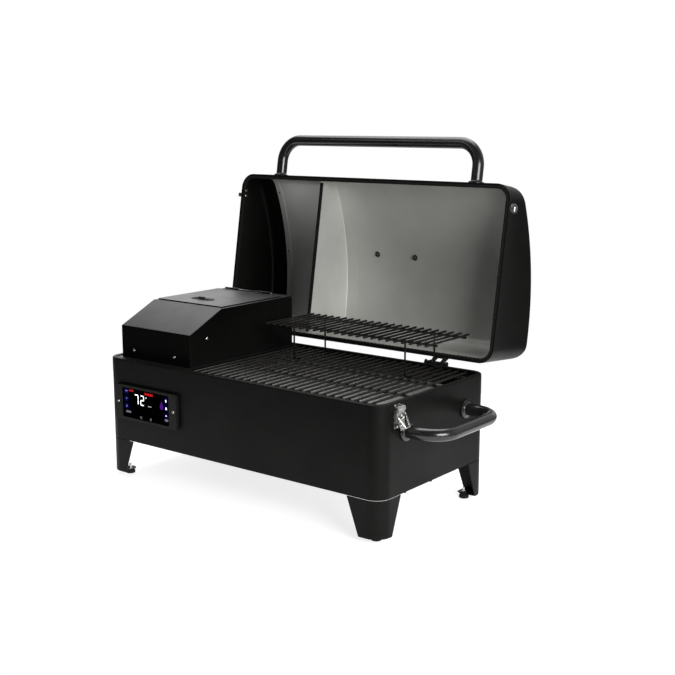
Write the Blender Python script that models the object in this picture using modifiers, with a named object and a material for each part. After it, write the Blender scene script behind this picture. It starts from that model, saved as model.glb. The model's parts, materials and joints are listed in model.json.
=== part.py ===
"""Portable pellet smoker grill, modelled as its separate parts.

The datum is the middle of the tub's front bottom edge: x runs to the right, y to the back and z up, and
every part is placed from it. The datum itself stands above the floor on the legs. Lengths are in metres.
"""

import math

import bmesh
import bpy
from mathutils import Matrix, Vector

MM = 0.001

# tub
WIDTH = 760 * MM
DEPTH = 382.6 * MM
HEIGHT = 185.4 * MM
CORNER = 34 * MM
SHEET = 1.8 * MM
LIP = 12 * MM
GAP = 0.3 * MM
FLOOR_TOP = 2.2 * MM
LEG_CLEARANCE = 88 * MM
FRONT_Y = -280.4 * MM
SIDE_X = WIDTH / 2
INSIDE_X = SIDE_X - SHEET
INSIDE_BACK = DEPTH - SHEET
DIVIDER_X = -141 * MM

# openings in the tub: the display's window, the rear vents, the air intake and the power socket's hole
WINDOW = (-315 * MM, 64 * MM, -181 * MM, 118 * MM)
VENT_STARTS = [x * MM for x in (-60, 0, 60, 120, 180)]
VENT_LENGTH = 34 * MM
VENT_Z = (118 * MM, 124 * MM)
INTAKE_STARTS = [x * MM for x in (-240, -225, -210, -195)]
INTAKE_WIDTH = 6 * MM
INTAKE_Y = (232 * MM, 292 * MM)
SOCKET_HOLE = (-334 * MM, 38 * MM, -260 * MM, 64 * MM)
DRAIN_RADIUS = 13 * MM
THROUGH = 6 * MM

# legs and feet
LEG_HEIGHT = 77 * MM
LEG_SHEET = 2 * MM
LEG_FRONT_TOP = 80 * MM
LEG_FRONT_FOOT = 52 * MM
LEG_SIDE_TOP = 68 * MM
LEG_SIDE_FOOT = 40 * MM
FOOT_RADIUS = 10.5 * MM
FOOT_INSET = 32 * MM

# bent-tube handles
TUBE_RADIUS = 12.7 * MM
SIDE_HANDLE_FRONT = 81 * MM
SIDE_HANDLE_BACK = 297 * MM
SIDE_HANDLE_Z = 123.5 * MM
SIDE_HANDLE_REACH = 80 * MM
SIDE_HANDLE_BEND = 48 * MM
SIDE_FLANGE_RADIUS = 19.5 * MM
LID_HANDLE_X = 278 * MM
LID_HANDLE_RISE = 27 * MM
LID_HANDLE_REACH = 88 * MM
LID_HANDLE_BEND = 50 * MM
LID_FLANGE_RADIUS = 17.5 * MM

# lid, drawn closed: "rise" is the height above the tub's rim
LID_SEAT = 0.8 * MM
LID_SHEET = 2 * MM
LID_EDGE = 12 * MM
LID_OPEN = math.radians(99.4)
HINGE_Y = 395.5 * MM
HINGE_Z = 184.5 * MM
HINGE_X = 243 * MM
HINGE_WIDTH = 56 * MM
HINGE_LEAF = 2 * MM
HINGE_BARREL = 6 * MM
HINGE_PIN_RADIUS = 3 * MM
FRONT_WALL_RISE = 42 * MM
CROWN_FRONT = (22 * MM, 71 * MM)
CROWN_MIDDLE = (150 * MM, 129 * MM)
CROWN_BACK = (334 * MM, 154.5 * MM)
REAR_SHOULDER = (373.5 * MM, 120 * MM)
REAR_FOOT = (382.4 * MM, 0.0)
LINER_INSET = 3 * MM
LINER_SHEET = 1.2 * MM
LINER_LEFT = -325 * MM
PARTITION_X = -132 * MM
PARTITION_SHEET = 1.6 * MM
PARTITION_FOOT = (13 * MM, 369 * MM)
SEAL_INSET = 3 * MM
SEAL_WIDTH = 8 * MM
SEAL_HEIGHT = 5.9 * MM
BADGE_X = 16 * MM
BADGE_SIZE = (140 * MM, 32 * MM)
BADGE_SHEET = 1.2 * MM
BADGE_LIFT = 0.7 * MM

# hopper
HOPPER_LEFT = -357.5 * MM
HOPPER_RIGHT = -142.4 * MM
HOPPER_FRONT = 28 * MM
HOPPER_BACK = 366.5 * MM
HOPPER_SLOPE_Y = 127.5 * MM
HOPPER_FRONT_Z = 254.5 * MM
HOPPER_TOP_Z = 300.5 * MM
HOPPER_SHEET = 1.5 * MM
HOPPER_PIN_Y = 341 * MM
HOPPER_PIN_Z = 304.3 * MM
HOPPER_PIN_RADIUS = 1.8 * MM
HOPPER_BARREL = 3.4 * MM
HOPPER_MOUTH = (-342 * MM, 142 * MM, -158 * MM, 331 * MM)
DECK_Z = 181.5 * MM
DECK_SHEET = 1.8 * MM
DECK_GAP = 0.5 * MM
FLAP_LEFT = -351.5 * MM
FLAP_RIGHT = -148.5 * MM
FLAP_FRONT = 134 * MM
FLAP_BACK = 336 * MM
FLAP_SHEET = 2.5 * MM
FLAP_KNUCKLES = ((-332 * MM, -311 * MM), (-227 * MM, -206 * MM))
KNUCKLE_LENGTH = 20 * MM
PULL_ENDS = (-291 * MM, -229 * MM)
BIN_MOUTH = (-340.5 * MM, 143.5 * MM, -159.5 * MM, 329.5 * MM)
BIN_NECK = (-270 * MM, 179 * MM, -200 * MM, 203 * MM)
BIN_LEVELS = (300.1 * MM, 205 * MM, 112 * MM, 91 * MM)
BIN_SHEET = 1 * MM
GUARD_Z = 262 * MM
GUARD_SHEET = 2 * MM
GUARD_SLOTS = [x * MM for x in (-332.5, -298.5, -264.5, -230.5, -196.5)]
GUARD_SLOT = 29 * MM

# pellet feed and fire
FIRE_Y = 191 * MM
AUGER_Z = 70 * MM
AUGER_LEFT = -292 * MM
AUGER_RIGHT = -92 * MM
AUGER_RADIUS = 17.5 * MM
AUGER_PITCH = 28 * MM
AUGER_CORE = 5 * MM
AUGER_TUBE_RADIUS = 20 * MM
AUGER_TUBE_BORE = 18.8 * MM
MOTOR_X = (-350 * MM, -306 * MM)
MOTOR_CAN_RADIUS = 21 * MM
POT_X = -58 * MM
POT_RADIUS = 38 * MM
POT_BASE = 20 * MM
POT_TOP = 105 * MM
POT_SHEET = 2 * MM
AIR_HOLE_Z = 40 * MM
AIR_HOLE_RADIUS = 4 * MM
AIR_BOX = (-139.5 * MM, 140 * MM, -12 * MM, 300 * MM)
AIR_SHEET = 1.5 * MM
AIR_TOP = 96 * MM
FAN_Y = 262 * MM
FAN_Z = 50 * MM
FAN_RADIUS = 26 * MM
IGNITER_Z = 34 * MM
IGNITER_RADIUS = 4 * MM
DIFFUSER = (-126 * MM, 144 * MM, -14 * MM, 296 * MM)
DIFFUSER_TOP = 120 * MM

# grates, tray and drawer
GRATE_FIRST_X = -122 * MM
GRATE_PITCH = 20 * MM
GRATE_RODS = 24
GRATE_ROD = 5.5 * MM
GRATE_TOP = 183.8 * MM
GRATE_REST_Z = 172 * MM
TRAY_REST_Z = 137.3 * MM
RACK_LEFT = -82 * MM
RACK_PITCH = 19.3 * MM
RACK_RODS = 23
RACK_ROD = 5 * MM
RACK_LEG = 4 * MM
RACK_FRONT = 203 * MM
RACK_BACK = 371 * MM
RACK_EDGES = (242 * MM, 352 * MM)
RACK_FEET = (-32 * MM, 266 * MM)
RACK_FOOT_LENGTH = 20 * MM
RACK_TOP = 266 * MM
SPOUT_X = 180 * MM
SPOUT_Y = 328 * MM
SPOUT_RADIUS = 11 * MM
TRAY = (-130 * MM, 22 * MM, 342 * MM, 358 * MM)
TRAY_WALL = 12 * MM
TRAY_SHEET = 1.5 * MM
TRAY_Z = 147 * MM
TRAY_SLOPE = math.radians(1.5)
DRAWER_HALF = 49 * MM
DRAWER_FRONT = 270 * MM
DRAWER_BACK = 376 * MM
DRAWER_BASE = -22 * MM
DRAWER_TOP = -4.3 * MM
DRAWER_SHEET = 1.2 * MM
RAIL_FRONT = 262 * MM
RAIL_BASE = -7.5 * MM
RAIL_SHEET = 1.5 * MM
PROBE_X = (-139.7 * MM, -92 * MM)
PROBE_Y = 330 * MM
PROBE_Z = 160 * MM

# control panel and power socket
BEZEL = (-345 * MM, 52 * MM, -152 * MM, 130 * MM)
BEZEL_FACE = -9 * MM
PANE = (-321 * MM, 58 * MM, -175 * MM, 124.5 * MM)
PANE_FACE = -7.5 * MM
BOARD_LOW = (-313 * MM, 6 * MM, 66 * MM)
BOARD_HIGH = (-183 * MM, 7.6 * MM, 116 * MM)
INLET = (-340 * MM, 32 * MM, -254 * MM, 70 * MM)
ROCKER_TILT = math.radians(9)

# latches
LATCH_Y = 52 * MM
LATCH_WIDTH = 22 * MM
LEVER_PIVOT = (389 * MM, 175 * MM)
BAIL_PIVOT = (387.5 * MM, 166 * MM)
BAIL_LENGTH = 31 * MM
BAIL_HANG = math.radians(35)
BAIL_WIRE = 1.3 * MM
KEEPER_LOW = 188.5 * MM
KEEPER_TOP = 220 * MM

PART_NAME = "pellet_smoker_grill"

for old in list(bpy.data.objects):
    bpy.data.objects.remove(old, do_unlink=True)

parts = bpy.data.collections.new(PART_NAME)
cutters = bpy.data.collections.new(PART_NAME + "_cutters")
bpy.context.scene.collection.children.link(parts)
bpy.context.scene.collection.children.link(cutters)


# ---------------------------------------------------------------- materials

def material(name, colour, roughness, metallic=0.0):
    made = bpy.data.materials.new(name)
    made.use_nodes = True
    shader = made.node_tree.nodes["Principled BSDF"]
    shader.inputs["Base Color"].default_value = (*colour, 1)
    shader.inputs["Roughness"].default_value = roughness
    shader.inputs["Metallic"].default_value = metallic
    return made


BLACK = material("black_powder_coat", (0.012, 0.012, 0.012), 0.45)
TUBE = material("handle_satin_black", (0.03, 0.03, 0.03), 0.35, 0.3)
ENAMEL = material("grate_black_enamel", (0.01, 0.01, 0.01), 0.3)
LINER = material("galvanised_liner", (0.42, 0.42, 0.4), 0.42, 0.9)
STEEL = material("stainless_steel", (0.62, 0.61, 0.58), 0.28, 1.0)
PLASTIC = material("black_plastic", (0.015, 0.015, 0.015), 0.5)
GLASS = material("display_gloss", (0.004, 0.004, 0.005), 0.08)
RUBBER = material("black_rubber", (0.02, 0.02, 0.02), 0.8)
GASKET = material("woven_gasket", (0.025, 0.025, 0.024), 0.9)
BOARD = material("circuit_board", (0.02, 0.12, 0.05), 0.5)
CASING = material("motor_casing", (0.2, 0.2, 0.2), 0.5, 0.3)


# ---------------------------------------------------------------- places

def empty(name, location, parent=None):
    made = bpy.data.objects.new(name, None)
    parts.objects.link(made)
    made.location = location
    made.parent = parent
    return made


datum = empty("tub_datum", (0, FRONT_Y, LEG_CLEARANCE))


def pivot(name, location, parent=None):
    """An empty on a joint's axis. A part hung on it stays where it is drawn until the empty turns."""
    made = empty(name, location, parent or datum)
    if parent is not None and parent is not datum:
        made.matrix_parent_inverse = Matrix.Translation(-Vector(parent["drawn_at"]))
    made["drawn_at"] = list(location)
    return made


def hang(obj, parent):
    """Parents a part that is drawn from the datum."""
    obj.parent = parent
    if parent is not datum:
        obj.matrix_parent_inverse = Matrix.Translation(-Vector(parent["drawn_at"]))
    return obj


# ---------------------------------------------------------------- shapes

def add(name, mesh, finish, parent=None):
    """A part's object, drawn from the datum."""
    mesh.name = name
    made = bpy.data.objects.new(name, mesh)
    mesh.materials.clear()
    mesh.materials.append(finish)
    parts.objects.link(made)
    return hang(made, parent or datum)


def mesh_from(build):
    """A mesh from a function that fills a bmesh."""
    bm = bmesh.new()
    build(bm)
    bmesh.ops.recalc_face_normals(bm, faces=bm.faces)
    mesh = bpy.data.meshes.new("shape")
    bm.to_mesh(mesh)
    bm.free()
    return mesh


def fill_box(bm, low, high):
    low, high = Vector(low), Vector(high)
    size = high - low
    place = Matrix.Translation((low + high) / 2) @ Matrix.Diagonal((*size, 1))
    return bmesh.ops.create_cube(bm, size=1, matrix=place)["verts"]


def boxes(*corners):
    """A mesh of one or more boxes that don't touch, each given by its two corners."""
    return mesh_from(lambda bm: [fill_box(bm, low, high) for low, high in corners])


def fill_rod(bm, start, end, radius, sides=16, end_radius=None):
    start, end = Vector(start), Vector(end)
    along = end - start
    turn = along.to_track_quat("Z", "Y").to_matrix().to_4x4()
    bmesh.ops.create_cone(
        bm, cap_ends=True, segments=sides, depth=along.length, radius1=radius,
        radius2=radius if end_radius is None else end_radius,
        matrix=Matrix.Translation((start + end) / 2) @ turn,
    )


def rods(*pieces, sides=16):
    """A mesh of one or more round rods that don't touch, each given by its ends and radius."""
    return mesh_from(lambda bm: [fill_rod(bm, *piece, sides=sides) for piece in pieces])


def rounded_rectangle(x0, y0, x1, y1, radius, steps=5):
    """Outline of a rectangle with round corners, counter-clockwise."""
    centres = ((x1 - radius, y1 - radius), (x0 + radius, y1 - radius),
               (x0 + radius, y0 + radius), (x1 - radius, y0 + radius))
    points = []
    for quarter, (cx, cy) in enumerate(centres):
        for step in range(steps + 1):
            angle = math.radians(90 * (quarter + step / steps))
            points.append((cx + radius * math.cos(angle), cy + radius * math.sin(angle)))
    return points


def to_mesh(obj):
    """A curve's mesh in the datum's frame, with its caps welded. The curve is removed."""
    bpy.context.view_layer.update()
    found = obj.evaluated_get(bpy.context.evaluated_depsgraph_get())
    mesh = bpy.data.meshes.new_from_object(found)
    mesh.transform(obj.matrix_world)
    bpy.data.objects.remove(obj, do_unlink=True)
    bm = bmesh.new()
    bm.from_mesh(mesh)
    bmesh.ops.remove_doubles(bm, verts=bm.verts, dist=0.00002)
    bmesh.ops.recalc_face_normals(bm, faces=bm.faces)
    bm.to_mesh(mesh)
    bm.free()
    return mesh


PLANES = {
    "XY": Matrix.Identity(4),
    "XZ": Matrix(((1, 0, 0, 0), (0, 0, -1, 0), (0, 1, 0, 0), (0, 0, 0, 1))),
    "YZ": Matrix(((0, 0, 1, 0), (1, 0, 0, 0), (0, 1, 0, 0), (0, 0, 0, 1))),
}


def prism(plane, low, high, *outlines):
    """A flat outline, with any holes, thickened from low to high along the axis that its plane lacks."""
    curve = bpy.data.curves.new("outline", "CURVE")
    curve.dimensions = "2D"
    curve.fill_mode = "BOTH"
    curve.extrude = (high - low) / 2
    for outline in outlines:
        spline = curve.splines.new("POLY")
        spline.points.add(len(outline) - 1)
        for point, (u, v) in zip(spline.points, outline):
            point.co = (u, v, 0, 1)
        spline.use_cyclic_u = True
    obj = bpy.data.objects.new("outline", curve)
    bpy.context.scene.collection.objects.link(obj)
    middle = (low + high) / 2
    shift = {"XY": (0, 0, middle), "XZ": (0, middle, 0), "YZ": (middle, 0, 0)}[plane]
    obj.matrix_world = Matrix.Translation(shift) @ PLANES[plane]
    return to_mesh(obj)


def filleted(corners, radius, steps=5):
    """A path through corners, with each inner corner rounded by an arc."""
    points = [Vector(corners[0])]
    for before, corner, after in zip(corners, corners[1:], corners[2:]):
        corner = Vector(corner)
        one, two = (Vector(before) - corner).normalized(), (Vector(after) - corner).normalized()
        half = one.angle(two) / 2
        reach = radius / math.tan(half)
        centre = corner + (one + two).normalized() * radius / math.sin(half)
        start, end = corner + one * reach - centre, corner + two * reach - centre
        turn = start.angle(end)
        for step in range(steps + 1):
            share = step / steps
            points.append(centre + (start * math.sin((1 - share) * turn) + end * math.sin(share * turn))
                          / math.sin(turn))
    points.append(Vector(corners[-1]))
    return points


def tube(path, radius, resolution=2):
    """A mesh tube along a path, with filled ends."""
    curve = bpy.data.curves.new("tube", "CURVE")
    curve.dimensions = "3D"
    curve.bevel_depth = radius
    curve.bevel_resolution = resolution
    curve.use_fill_caps = True
    spline = curve.splines.new("POLY")
    spline.points.add(len(path) - 1)
    for point, place in zip(spline.points, path):
        point.co = (*place, 1)
    obj = bpy.data.objects.new("tube", curve)
    bpy.context.scene.collection.objects.link(obj)
    return to_mesh(obj)


def combine(obj, operation, *meshes):
    """Adds a Boolean for each mesh, kept as a hidden cutter that moves with the part."""
    for number, mesh in enumerate(meshes):
        cutter = bpy.data.objects.new(f"{obj.name}_{operation.lower()}_{number}", mesh)
        cutters.objects.link(cutter)
        hang(cutter, obj.parent)
        cutter.hide_render = True
        cutter.display_type = "WIRE"
        change = obj.modifiers.new(operation.title(), "BOOLEAN")
        change.operation = operation
        change.object = cutter
        change.solver = "EXACT"
    return obj


def fuse(obj, *meshes):
    return combine(obj, "UNION", *meshes)


def cut(obj, *meshes):
    return combine(obj, "DIFFERENCE", *meshes)


def thicken(obj, thickness):
    """Solidify towards the inside of the faces."""
    change = obj.modifiers.new("Solidify", "SOLIDIFY")
    change.thickness = thickness
    change.offset = -1
    change.use_even_offset = True
    return obj


def mirror_x(mesh):
    """The same mesh on the other side of the middle plane."""
    copy = mesh.copy()
    copy.transform(Matrix.Diagonal((-1, 1, 1, 1)))
    copy.flip_normals()
    return copy


def side_mesh(mesh, sign):
    return mesh if sign > 0 else mirror_x(mesh)


SIDES = (("left", -1), ("right", 1))


# ---------------------------------------------------------------- tub

def fill_tub(bm):
    fill_box(bm, (-SIDE_X, 0, 0), (SIDE_X, DEPTH, HEIGHT))
    upright = [e for e in bm.edges if abs(e.verts[0].co.z - e.verts[1].co.z) > HEIGHT / 2]
    bmesh.ops.bevel(bm, geom=upright, offset=CORNER, segments=5, profile=0.5, affect="EDGES")
    top = [f for f in bm.faces if f.calc_center_median().z > HEIGHT - MM]
    bmesh.ops.inset_region(bm, faces=top, thickness=LIP, use_even_offset=True)
    bmesh.ops.delete(bm, geom=top, context="FACES_ONLY")


def make_tub():
    """The pressed tub: rounded walls, a floor and a rim folded inwards, with its vents and cut-outs."""
    shell = add("body_shell", mesh_from(fill_tub), BLACK)
    thicken(shell, SHEET)
    back = (DEPTH - THROUGH, DEPTH + THROUGH)
    window = boxes(((WINDOW[0], -THROUGH, WINDOW[1]), (WINDOW[2], THROUGH, WINDOW[3])))
    vents = boxes(*[((x, back[0], VENT_Z[0]), (x + VENT_LENGTH, back[1], VENT_Z[1])) for x in VENT_STARTS])
    intake = boxes(*[((x, INTAKE_Y[0], -THROUGH), (x + INTAKE_WIDTH, INTAKE_Y[1], THROUGH))
                     for x in INTAKE_STARTS])
    socket = boxes(((SOCKET_HOLE[0], back[0], SOCKET_HOLE[1]), (SOCKET_HOLE[2], back[1], SOCKET_HOLE[3])))
    drain = rods(((SPOUT_X, SPOUT_Y, -THROUGH), (SPOUT_X, SPOUT_Y, THROUGH), DRAIN_RADIUS))
    return cut(shell, window, vents, intake, socket, drain)


def make_divider():
    """The wall between the hopper bay and the cooking chamber, with its capping strip and two shelves."""
    low, high = DIVIDER_X - MM, DIVIDER_X + MM
    top, edge = HEIGHT - 1.6 * MM, SHEET + 0.4 * MM
    wall = add("divider_wall", boxes(((low, edge, FLOOR_TOP), (high, INSIDE_BACK - GAP, top))), BLACK)
    clear = LIP + GAP
    cap = boxes(((low, clear, top - 0.2 * MM), (DIVIDER_X + 8.6 * MM, DEPTH - clear, HEIGHT)))
    shelves = [boxes(((DIVIDER_X, 30 * MM, z - 1.5 * MM), (DIVIDER_X + reach, 350 * MM, z)))
               for z, reach in ((GRATE_REST_Z, 23 * MM), (TRAY_REST_Z, 17 * MM))]
    fuse(wall, cap, *shelves)
    through = (DIVIDER_X - 5 * MM, DIVIDER_X + 5 * MM)
    trim = boxes(((low - 5 * MM, 0, 182 * MM), (high + 5 * MM, clear, 190 * MM)),
                 ((low - 5 * MM, DEPTH - clear, 182 * MM), (high + 5 * MM, DEPTH, 190 * MM)))
    holes = [rods(((through[0], y, z), (through[1], y, z), radius))
             for y, z, radius in ((FIRE_Y, AUGER_Z, 21 * MM), (FAN_Y, FAN_Z, 24 * MM),
                                  (FIRE_Y, IGNITER_Z, 5 * MM))]
    return cut(wall, trim, *holes)


def make_ledge():
    """The bracket inside the right wall: the grate rests on its top and the drip tray on its foot."""
    outline = [(346, 170.5), (377.8, 170.5), (377.8, 172), (344.5, 172), (344.5, 137.5), (330, 137.5),
               (330, 136), (346, 136)]
    outline = [(x * MM, z * MM) for x, z in outline]
    return add("grate_ledge", prism("XZ", 36 * MM, 346 * MM, outline), LINER)


# ---------------------------------------------------------------- legs

def leg_line(front_reach, side_reach, z):
    """Points round the right front corner at one height, from the front wall to the side wall."""
    centre = Vector((SIDE_X - CORNER, CORNER, z))
    points = [Vector((SIDE_X - front_reach, 0, z))]
    for step in range(6):
        angle = math.radians(-90 + 90 * step / 5)
        points.append(centre + Vector((math.cos(angle), math.sin(angle), 0)) * CORNER)
    points.append(Vector((SIDE_X, side_reach, z)))
    return points


def fill_leg(bm):
    top = [bm.verts.new(p) for p in leg_line(LEG_FRONT_TOP, LEG_SIDE_TOP, -GAP)]
    foot = [bm.verts.new(p) for p in leg_line(LEG_FRONT_FOOT, LEG_SIDE_FOOT, -LEG_HEIGHT)]
    for number in range(len(top) - 1):
        bm.faces.new((foot[number], foot[number + 1], top[number + 1], top[number]))


def mirrored(mesh, left, rear):
    """A mesh drawn for the right front corner, taken to another corner."""
    copy = mesh.copy()
    if left:
        copy.transform(Matrix.Diagonal((-1, 1, 1, 1)))
    if rear:
        copy.transform(Matrix.Translation((0, DEPTH, 0)) @ Matrix.Diagonal((1, -1, 1, 1)))
    if left != rear:
        copy.flip_normals()
    return copy


def make_legs():
    """Four folded legs, each wrapped round a corner, with a tab at the bottom that holds a rubber foot."""
    wall = mesh_from(fill_leg)
    inner = SIDE_X - LEG_SHEET / 2
    arc = [(p.x, p.y) for p in leg_line(LEG_FRONT_FOOT, LEG_SIDE_FOOT, 0)[1:-1]]
    middle = Vector((SIDE_X - CORNER, CORNER))
    arc = [tuple(middle + (Vector(p) - middle) * (1 - MM / CORNER)) for p in arc]
    tab_line = [(332 * MM, MM), *arc, (inner, 38 * MM), (332 * MM, 38 * MM)]
    tab = prism("XY", 0.2 * MM - LEG_HEIGHT, 2.2 * MM - LEG_HEIGHT, tab_line)
    for row, rear in (("front", False), ("rear", True)):
        for column, left in (("left", True), ("right", False)):
            leg = add(f"leg_{row}_{column}", mirrored(wall, left, rear), BLACK)
            thicken(leg, LEG_SHEET)
            fuse(leg, mirrored(tab, left, rear))
            x = (SIDE_X - FOOT_INSET) * (-1 if left else 1)
            y = DEPTH - FOOT_INSET if rear else FOOT_INSET
            foot = rods(((x, y, -LEG_CLEARANCE), (x, y, -LEG_HEIGHT - GAP), FOOT_RADIUS))
            add(f"foot_{row}_{column}", foot, RUBBER)


# ---------------------------------------------------------------- handles

def make_side_handles():
    """A bent tube on each end face, welded to two round flanges."""
    start, reach = SIDE_X + GAP, SIDE_X + SIDE_HANDLE_REACH
    corners = [(start, SIDE_HANDLE_FRONT, SIDE_HANDLE_Z), (reach, SIDE_HANDLE_FRONT, SIDE_HANDLE_Z),
               (reach, SIDE_HANDLE_BACK, SIDE_HANDLE_Z), (start, SIDE_HANDLE_BACK, SIDE_HANDLE_Z)]
    grip = tube(filleted(corners, SIDE_HANDLE_BEND), TUBE_RADIUS, 3)
    for name, sign in SIDES:
        handle = add(f"handle_{name}", side_mesh(grip, sign), TUBE)
        for y in (SIDE_HANDLE_FRONT, SIDE_HANDLE_BACK):
            flange = rods(((start, y, SIDE_HANDLE_Z), (start + 4 * MM, y, SIDE_HANDLE_Z),
                           SIDE_FLANGE_RADIUS), sides=20)
            fuse(handle, side_mesh(flange, sign))


def make_lid_handle(lid):
    """The long bent tube on the lid's front wall."""
    z = HEIGHT + LID_SEAT + LID_HANDLE_RISE
    corners = [(-LID_HANDLE_X, -MM, z), (-LID_HANDLE_X, -LID_HANDLE_REACH, z),
               (LID_HANDLE_X, -LID_HANDLE_REACH, z), (LID_HANDLE_X, -MM, z)]
    handle = add("lid_handle", tube(filleted(corners, LID_HANDLE_BEND), TUBE_RADIUS, 3), TUBE, lid)
    for x in (-LID_HANDLE_X, LID_HANDLE_X):
        fuse(handle, rods(((x, -4 * MM - GAP, z), (x, -GAP, z), LID_FLANGE_RADIUS), sides=20))


# ---------------------------------------------------------------- lid

def circle_through(a, b, c):
    """Centre and radius of the circle through three points."""
    (ax, ay), (bx, by), (cx, cy) = a, b, c
    scale = 2 * (ax * (by - cy) + bx * (cy - ay) + cx * (ay - by))
    aa, bb, cc = ax * ax + ay * ay, bx * bx + by * by, cx * cx + cy * cy
    x = (aa * (by - cy) + bb * (cy - ay) + cc * (ay - by)) / scale
    y = (aa * (cx - bx) + bb * (ax - cx) + cc * (bx - ax)) / scale
    return x, y, math.hypot(ax - x, ay - y)


def bent(start, control, end, steps):
    """Points of a quadratic curve, without its last one."""
    return [tuple((1 - t) ** 2 * s + 2 * t * (1 - t) * c + t * t * e
                  for s, c, e in zip(start, control, end))
            for t in (step / steps for step in range(steps))]


def lid_profile():
    """The lid's side outline as (y, rise), from the front rim over the crown to the rear rim."""
    x, y, radius = circle_through(CROWN_FRONT, CROWN_MIDDLE, CROWN_BACK)
    first = math.atan2(CROWN_FRONT[1] - y, CROWN_FRONT[0] - x)
    last = math.atan2(CROWN_BACK[1] - y, CROWN_BACK[0] - x)
    crown = [(x + radius * math.cos(a), y + radius * math.sin(a))
             for a in (first + (last - first) * step / 7 for step in range(7))]
    front = bent((0, FRONT_WALL_RISE), (2 * MM, 60 * MM), CROWN_FRONT, 3)
    rear = bent(CROWN_BACK, (366 * MM, 154 * MM), REAR_SHOULDER, 4)
    return [(0.0, 0.0), *front, *crown, *rear, REAR_SHOULDER, REAR_FOOT]


def inset_profile(inset):
    """The same outline moved inwards, each corner along its bisector."""
    points = [Vector(p) for p in lid_profile()]
    for end, beside in ((0, 1), (-1, -2)):
        points[end] = points[end] + (points[end] - points[beside]).normalized() * 30 * MM
    moved = []
    for number, point in enumerate(points):
        normals = []
        for a, b in ((number - 1, number), (number, number + 1)):
            if a >= 0 and b < len(points):
                along = (points[b] - points[a]).normalized()
                normals.append(Vector((along.y, -along.x)))
        bisector = (normals[0] + normals[-1]).normalized()
        moved.append(point + bisector * inset / bisector.dot(normals[0]))
    return [(p.x, p.y) for p in moved]


def lid_block(inset, low_rise):
    """The lid's outer form moved inwards by inset: its crowned block, and its plan from low_rise up."""
    base = HEIGHT + LID_SEAT
    reach = SIDE_X - inset
    outline = [(y, base + rise) for y, rise in inset_profile(inset)]
    block = prism("YZ", -reach, reach, outline)
    bm = bmesh.new()
    bm.from_mesh(block)
    bmesh.ops.dissolve_limit(bm, angle_limit=0.001, verts=bm.verts, edges=bm.edges)
    low = min(v.co.z for v in bm.verts) + MM
    ends = [e for e in bm.edges
            if abs(e.verts[0].co.x - e.verts[1].co.x) < MM and max(v.co.z for v in e.verts) > low]
    bmesh.ops.bevel(bm, geom=ends, offset=LID_EDGE - inset, segments=3, profile=0.5, affect="EDGES",
                    clamp_overlap=True)
    bm.to_mesh(block)
    bm.free()
    plan = prism("XY", base + low_rise, base + 0.2,
                 rounded_rectangle(-reach, inset, reach, DEPTH - inset, CORNER - inset, 5))
    return block, plan


def solid(block, plan, extra=None):
    """The mesh that block and plan, and extra if given, have in common."""
    obj = bpy.data.objects.new("solid", block)
    bpy.context.scene.collection.objects.link(obj)
    others = []
    for mesh in (plan, extra):
        if mesh is not None:
            other = bpy.data.objects.new("other", mesh)
            bpy.context.scene.collection.objects.link(other)
            others.append(other)
            change = obj.modifiers.new("Keep", "BOOLEAN")
            change.operation = "INTERSECT"
            change.object = other
            change.solver = "EXACT"
    made = to_mesh(obj)
    for other in others:
        bpy.data.objects.remove(other, do_unlink=True)
    return made


def make_lid_shell(lid):
    shell = add("lid_shell", solid(*lid_block(0, 0)), BLACK, lid)
    return cut(shell, solid(*lid_block(LID_SHEET, -10 * MM)))


def make_lid_liner(lid):
    """The bright inner skin, which stops short of the lid's left end."""
    keep_right = boxes(((LINER_LEFT, 0, HEIGHT), (SIDE_X, DEPTH, HEIGHT + 0.2)))
    block = solid(*lid_block(LINER_INSET, 7 * MM), keep_right)
    liner = add("lid_liner", block, LINER, lid)
    return cut(liner, solid(*lid_block(LINER_INSET + LINER_SHEET, -10 * MM)))


def make_lid_partition(lid):
    """The upright wall in the lid that closes the chamber off from the hopper bay."""
    base, half = HEIGHT + LID_SEAT, PARTITION_SHEET / 2
    foot, step = 2.2 * MM, 6.6 * MM
    front, back = PARTITION_FOOT
    upper = [(y, rise) for y, rise in inset_profile(LINER_INSET + PARTITION_SHEET) if rise > step]
    outline = [(front, foot), (front, step), (upper[0][0], step), *upper,
               (upper[-1][0] + 5 * MM, step), (back, step), (back, foot)]
    outline = [(y, base + rise) for y, rise in outline]
    wall = prism("YZ", PARTITION_X - half, PARTITION_X + half, outline)
    return add("lid_partition", wall, LINER, lid)


def make_lid_gasket(lid):
    """The seal round the lid's rim."""
    lines = [rounded_rectangle(inset - SIDE_X, inset, SIDE_X - inset, DEPTH - inset - GAP / 2, CORNER - inset)
             for inset in (SEAL_INSET, SEAL_INSET + SEAL_WIDTH)]
    low = HEIGHT + LID_SEAT / 2
    return add("lid_gasket", prism("XY", low, low + SEAL_HEIGHT, *lines), GASKET, lid)


def make_badge(lid):
    """A blank plate on the lid's crown, held by two studs whose nuts show inside."""
    x, y, radius = circle_through(CROWN_FRONT, CROWN_MIDDLE, CROWN_BACK)
    angle = math.atan2(CROWN_MIDDLE[1] - y, CROWN_MIDDLE[0] - x)
    reach, half = radius + BADGE_LIFT + BADGE_SHEET / 2, BADGE_SHEET / 2
    place = (Matrix.Translation((BADGE_X, x + math.cos(angle) * reach,
                                 HEIGHT + LID_SEAT + y + math.sin(angle) * reach))
             @ Matrix.Rotation(angle - math.pi / 2, 4, "X"))
    wide, deep = BADGE_SIZE[0] / 2, BADGE_SIZE[1] / 2
    plate = prism("XY", -half, half, rounded_rectangle(-wide, -deep, wide, deep, 6 * MM, 3))
    plate.transform(place)
    return add("badge_plate", plate, STEEL, lid)


# ---------------------------------------------------------------- lid hinges

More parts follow.
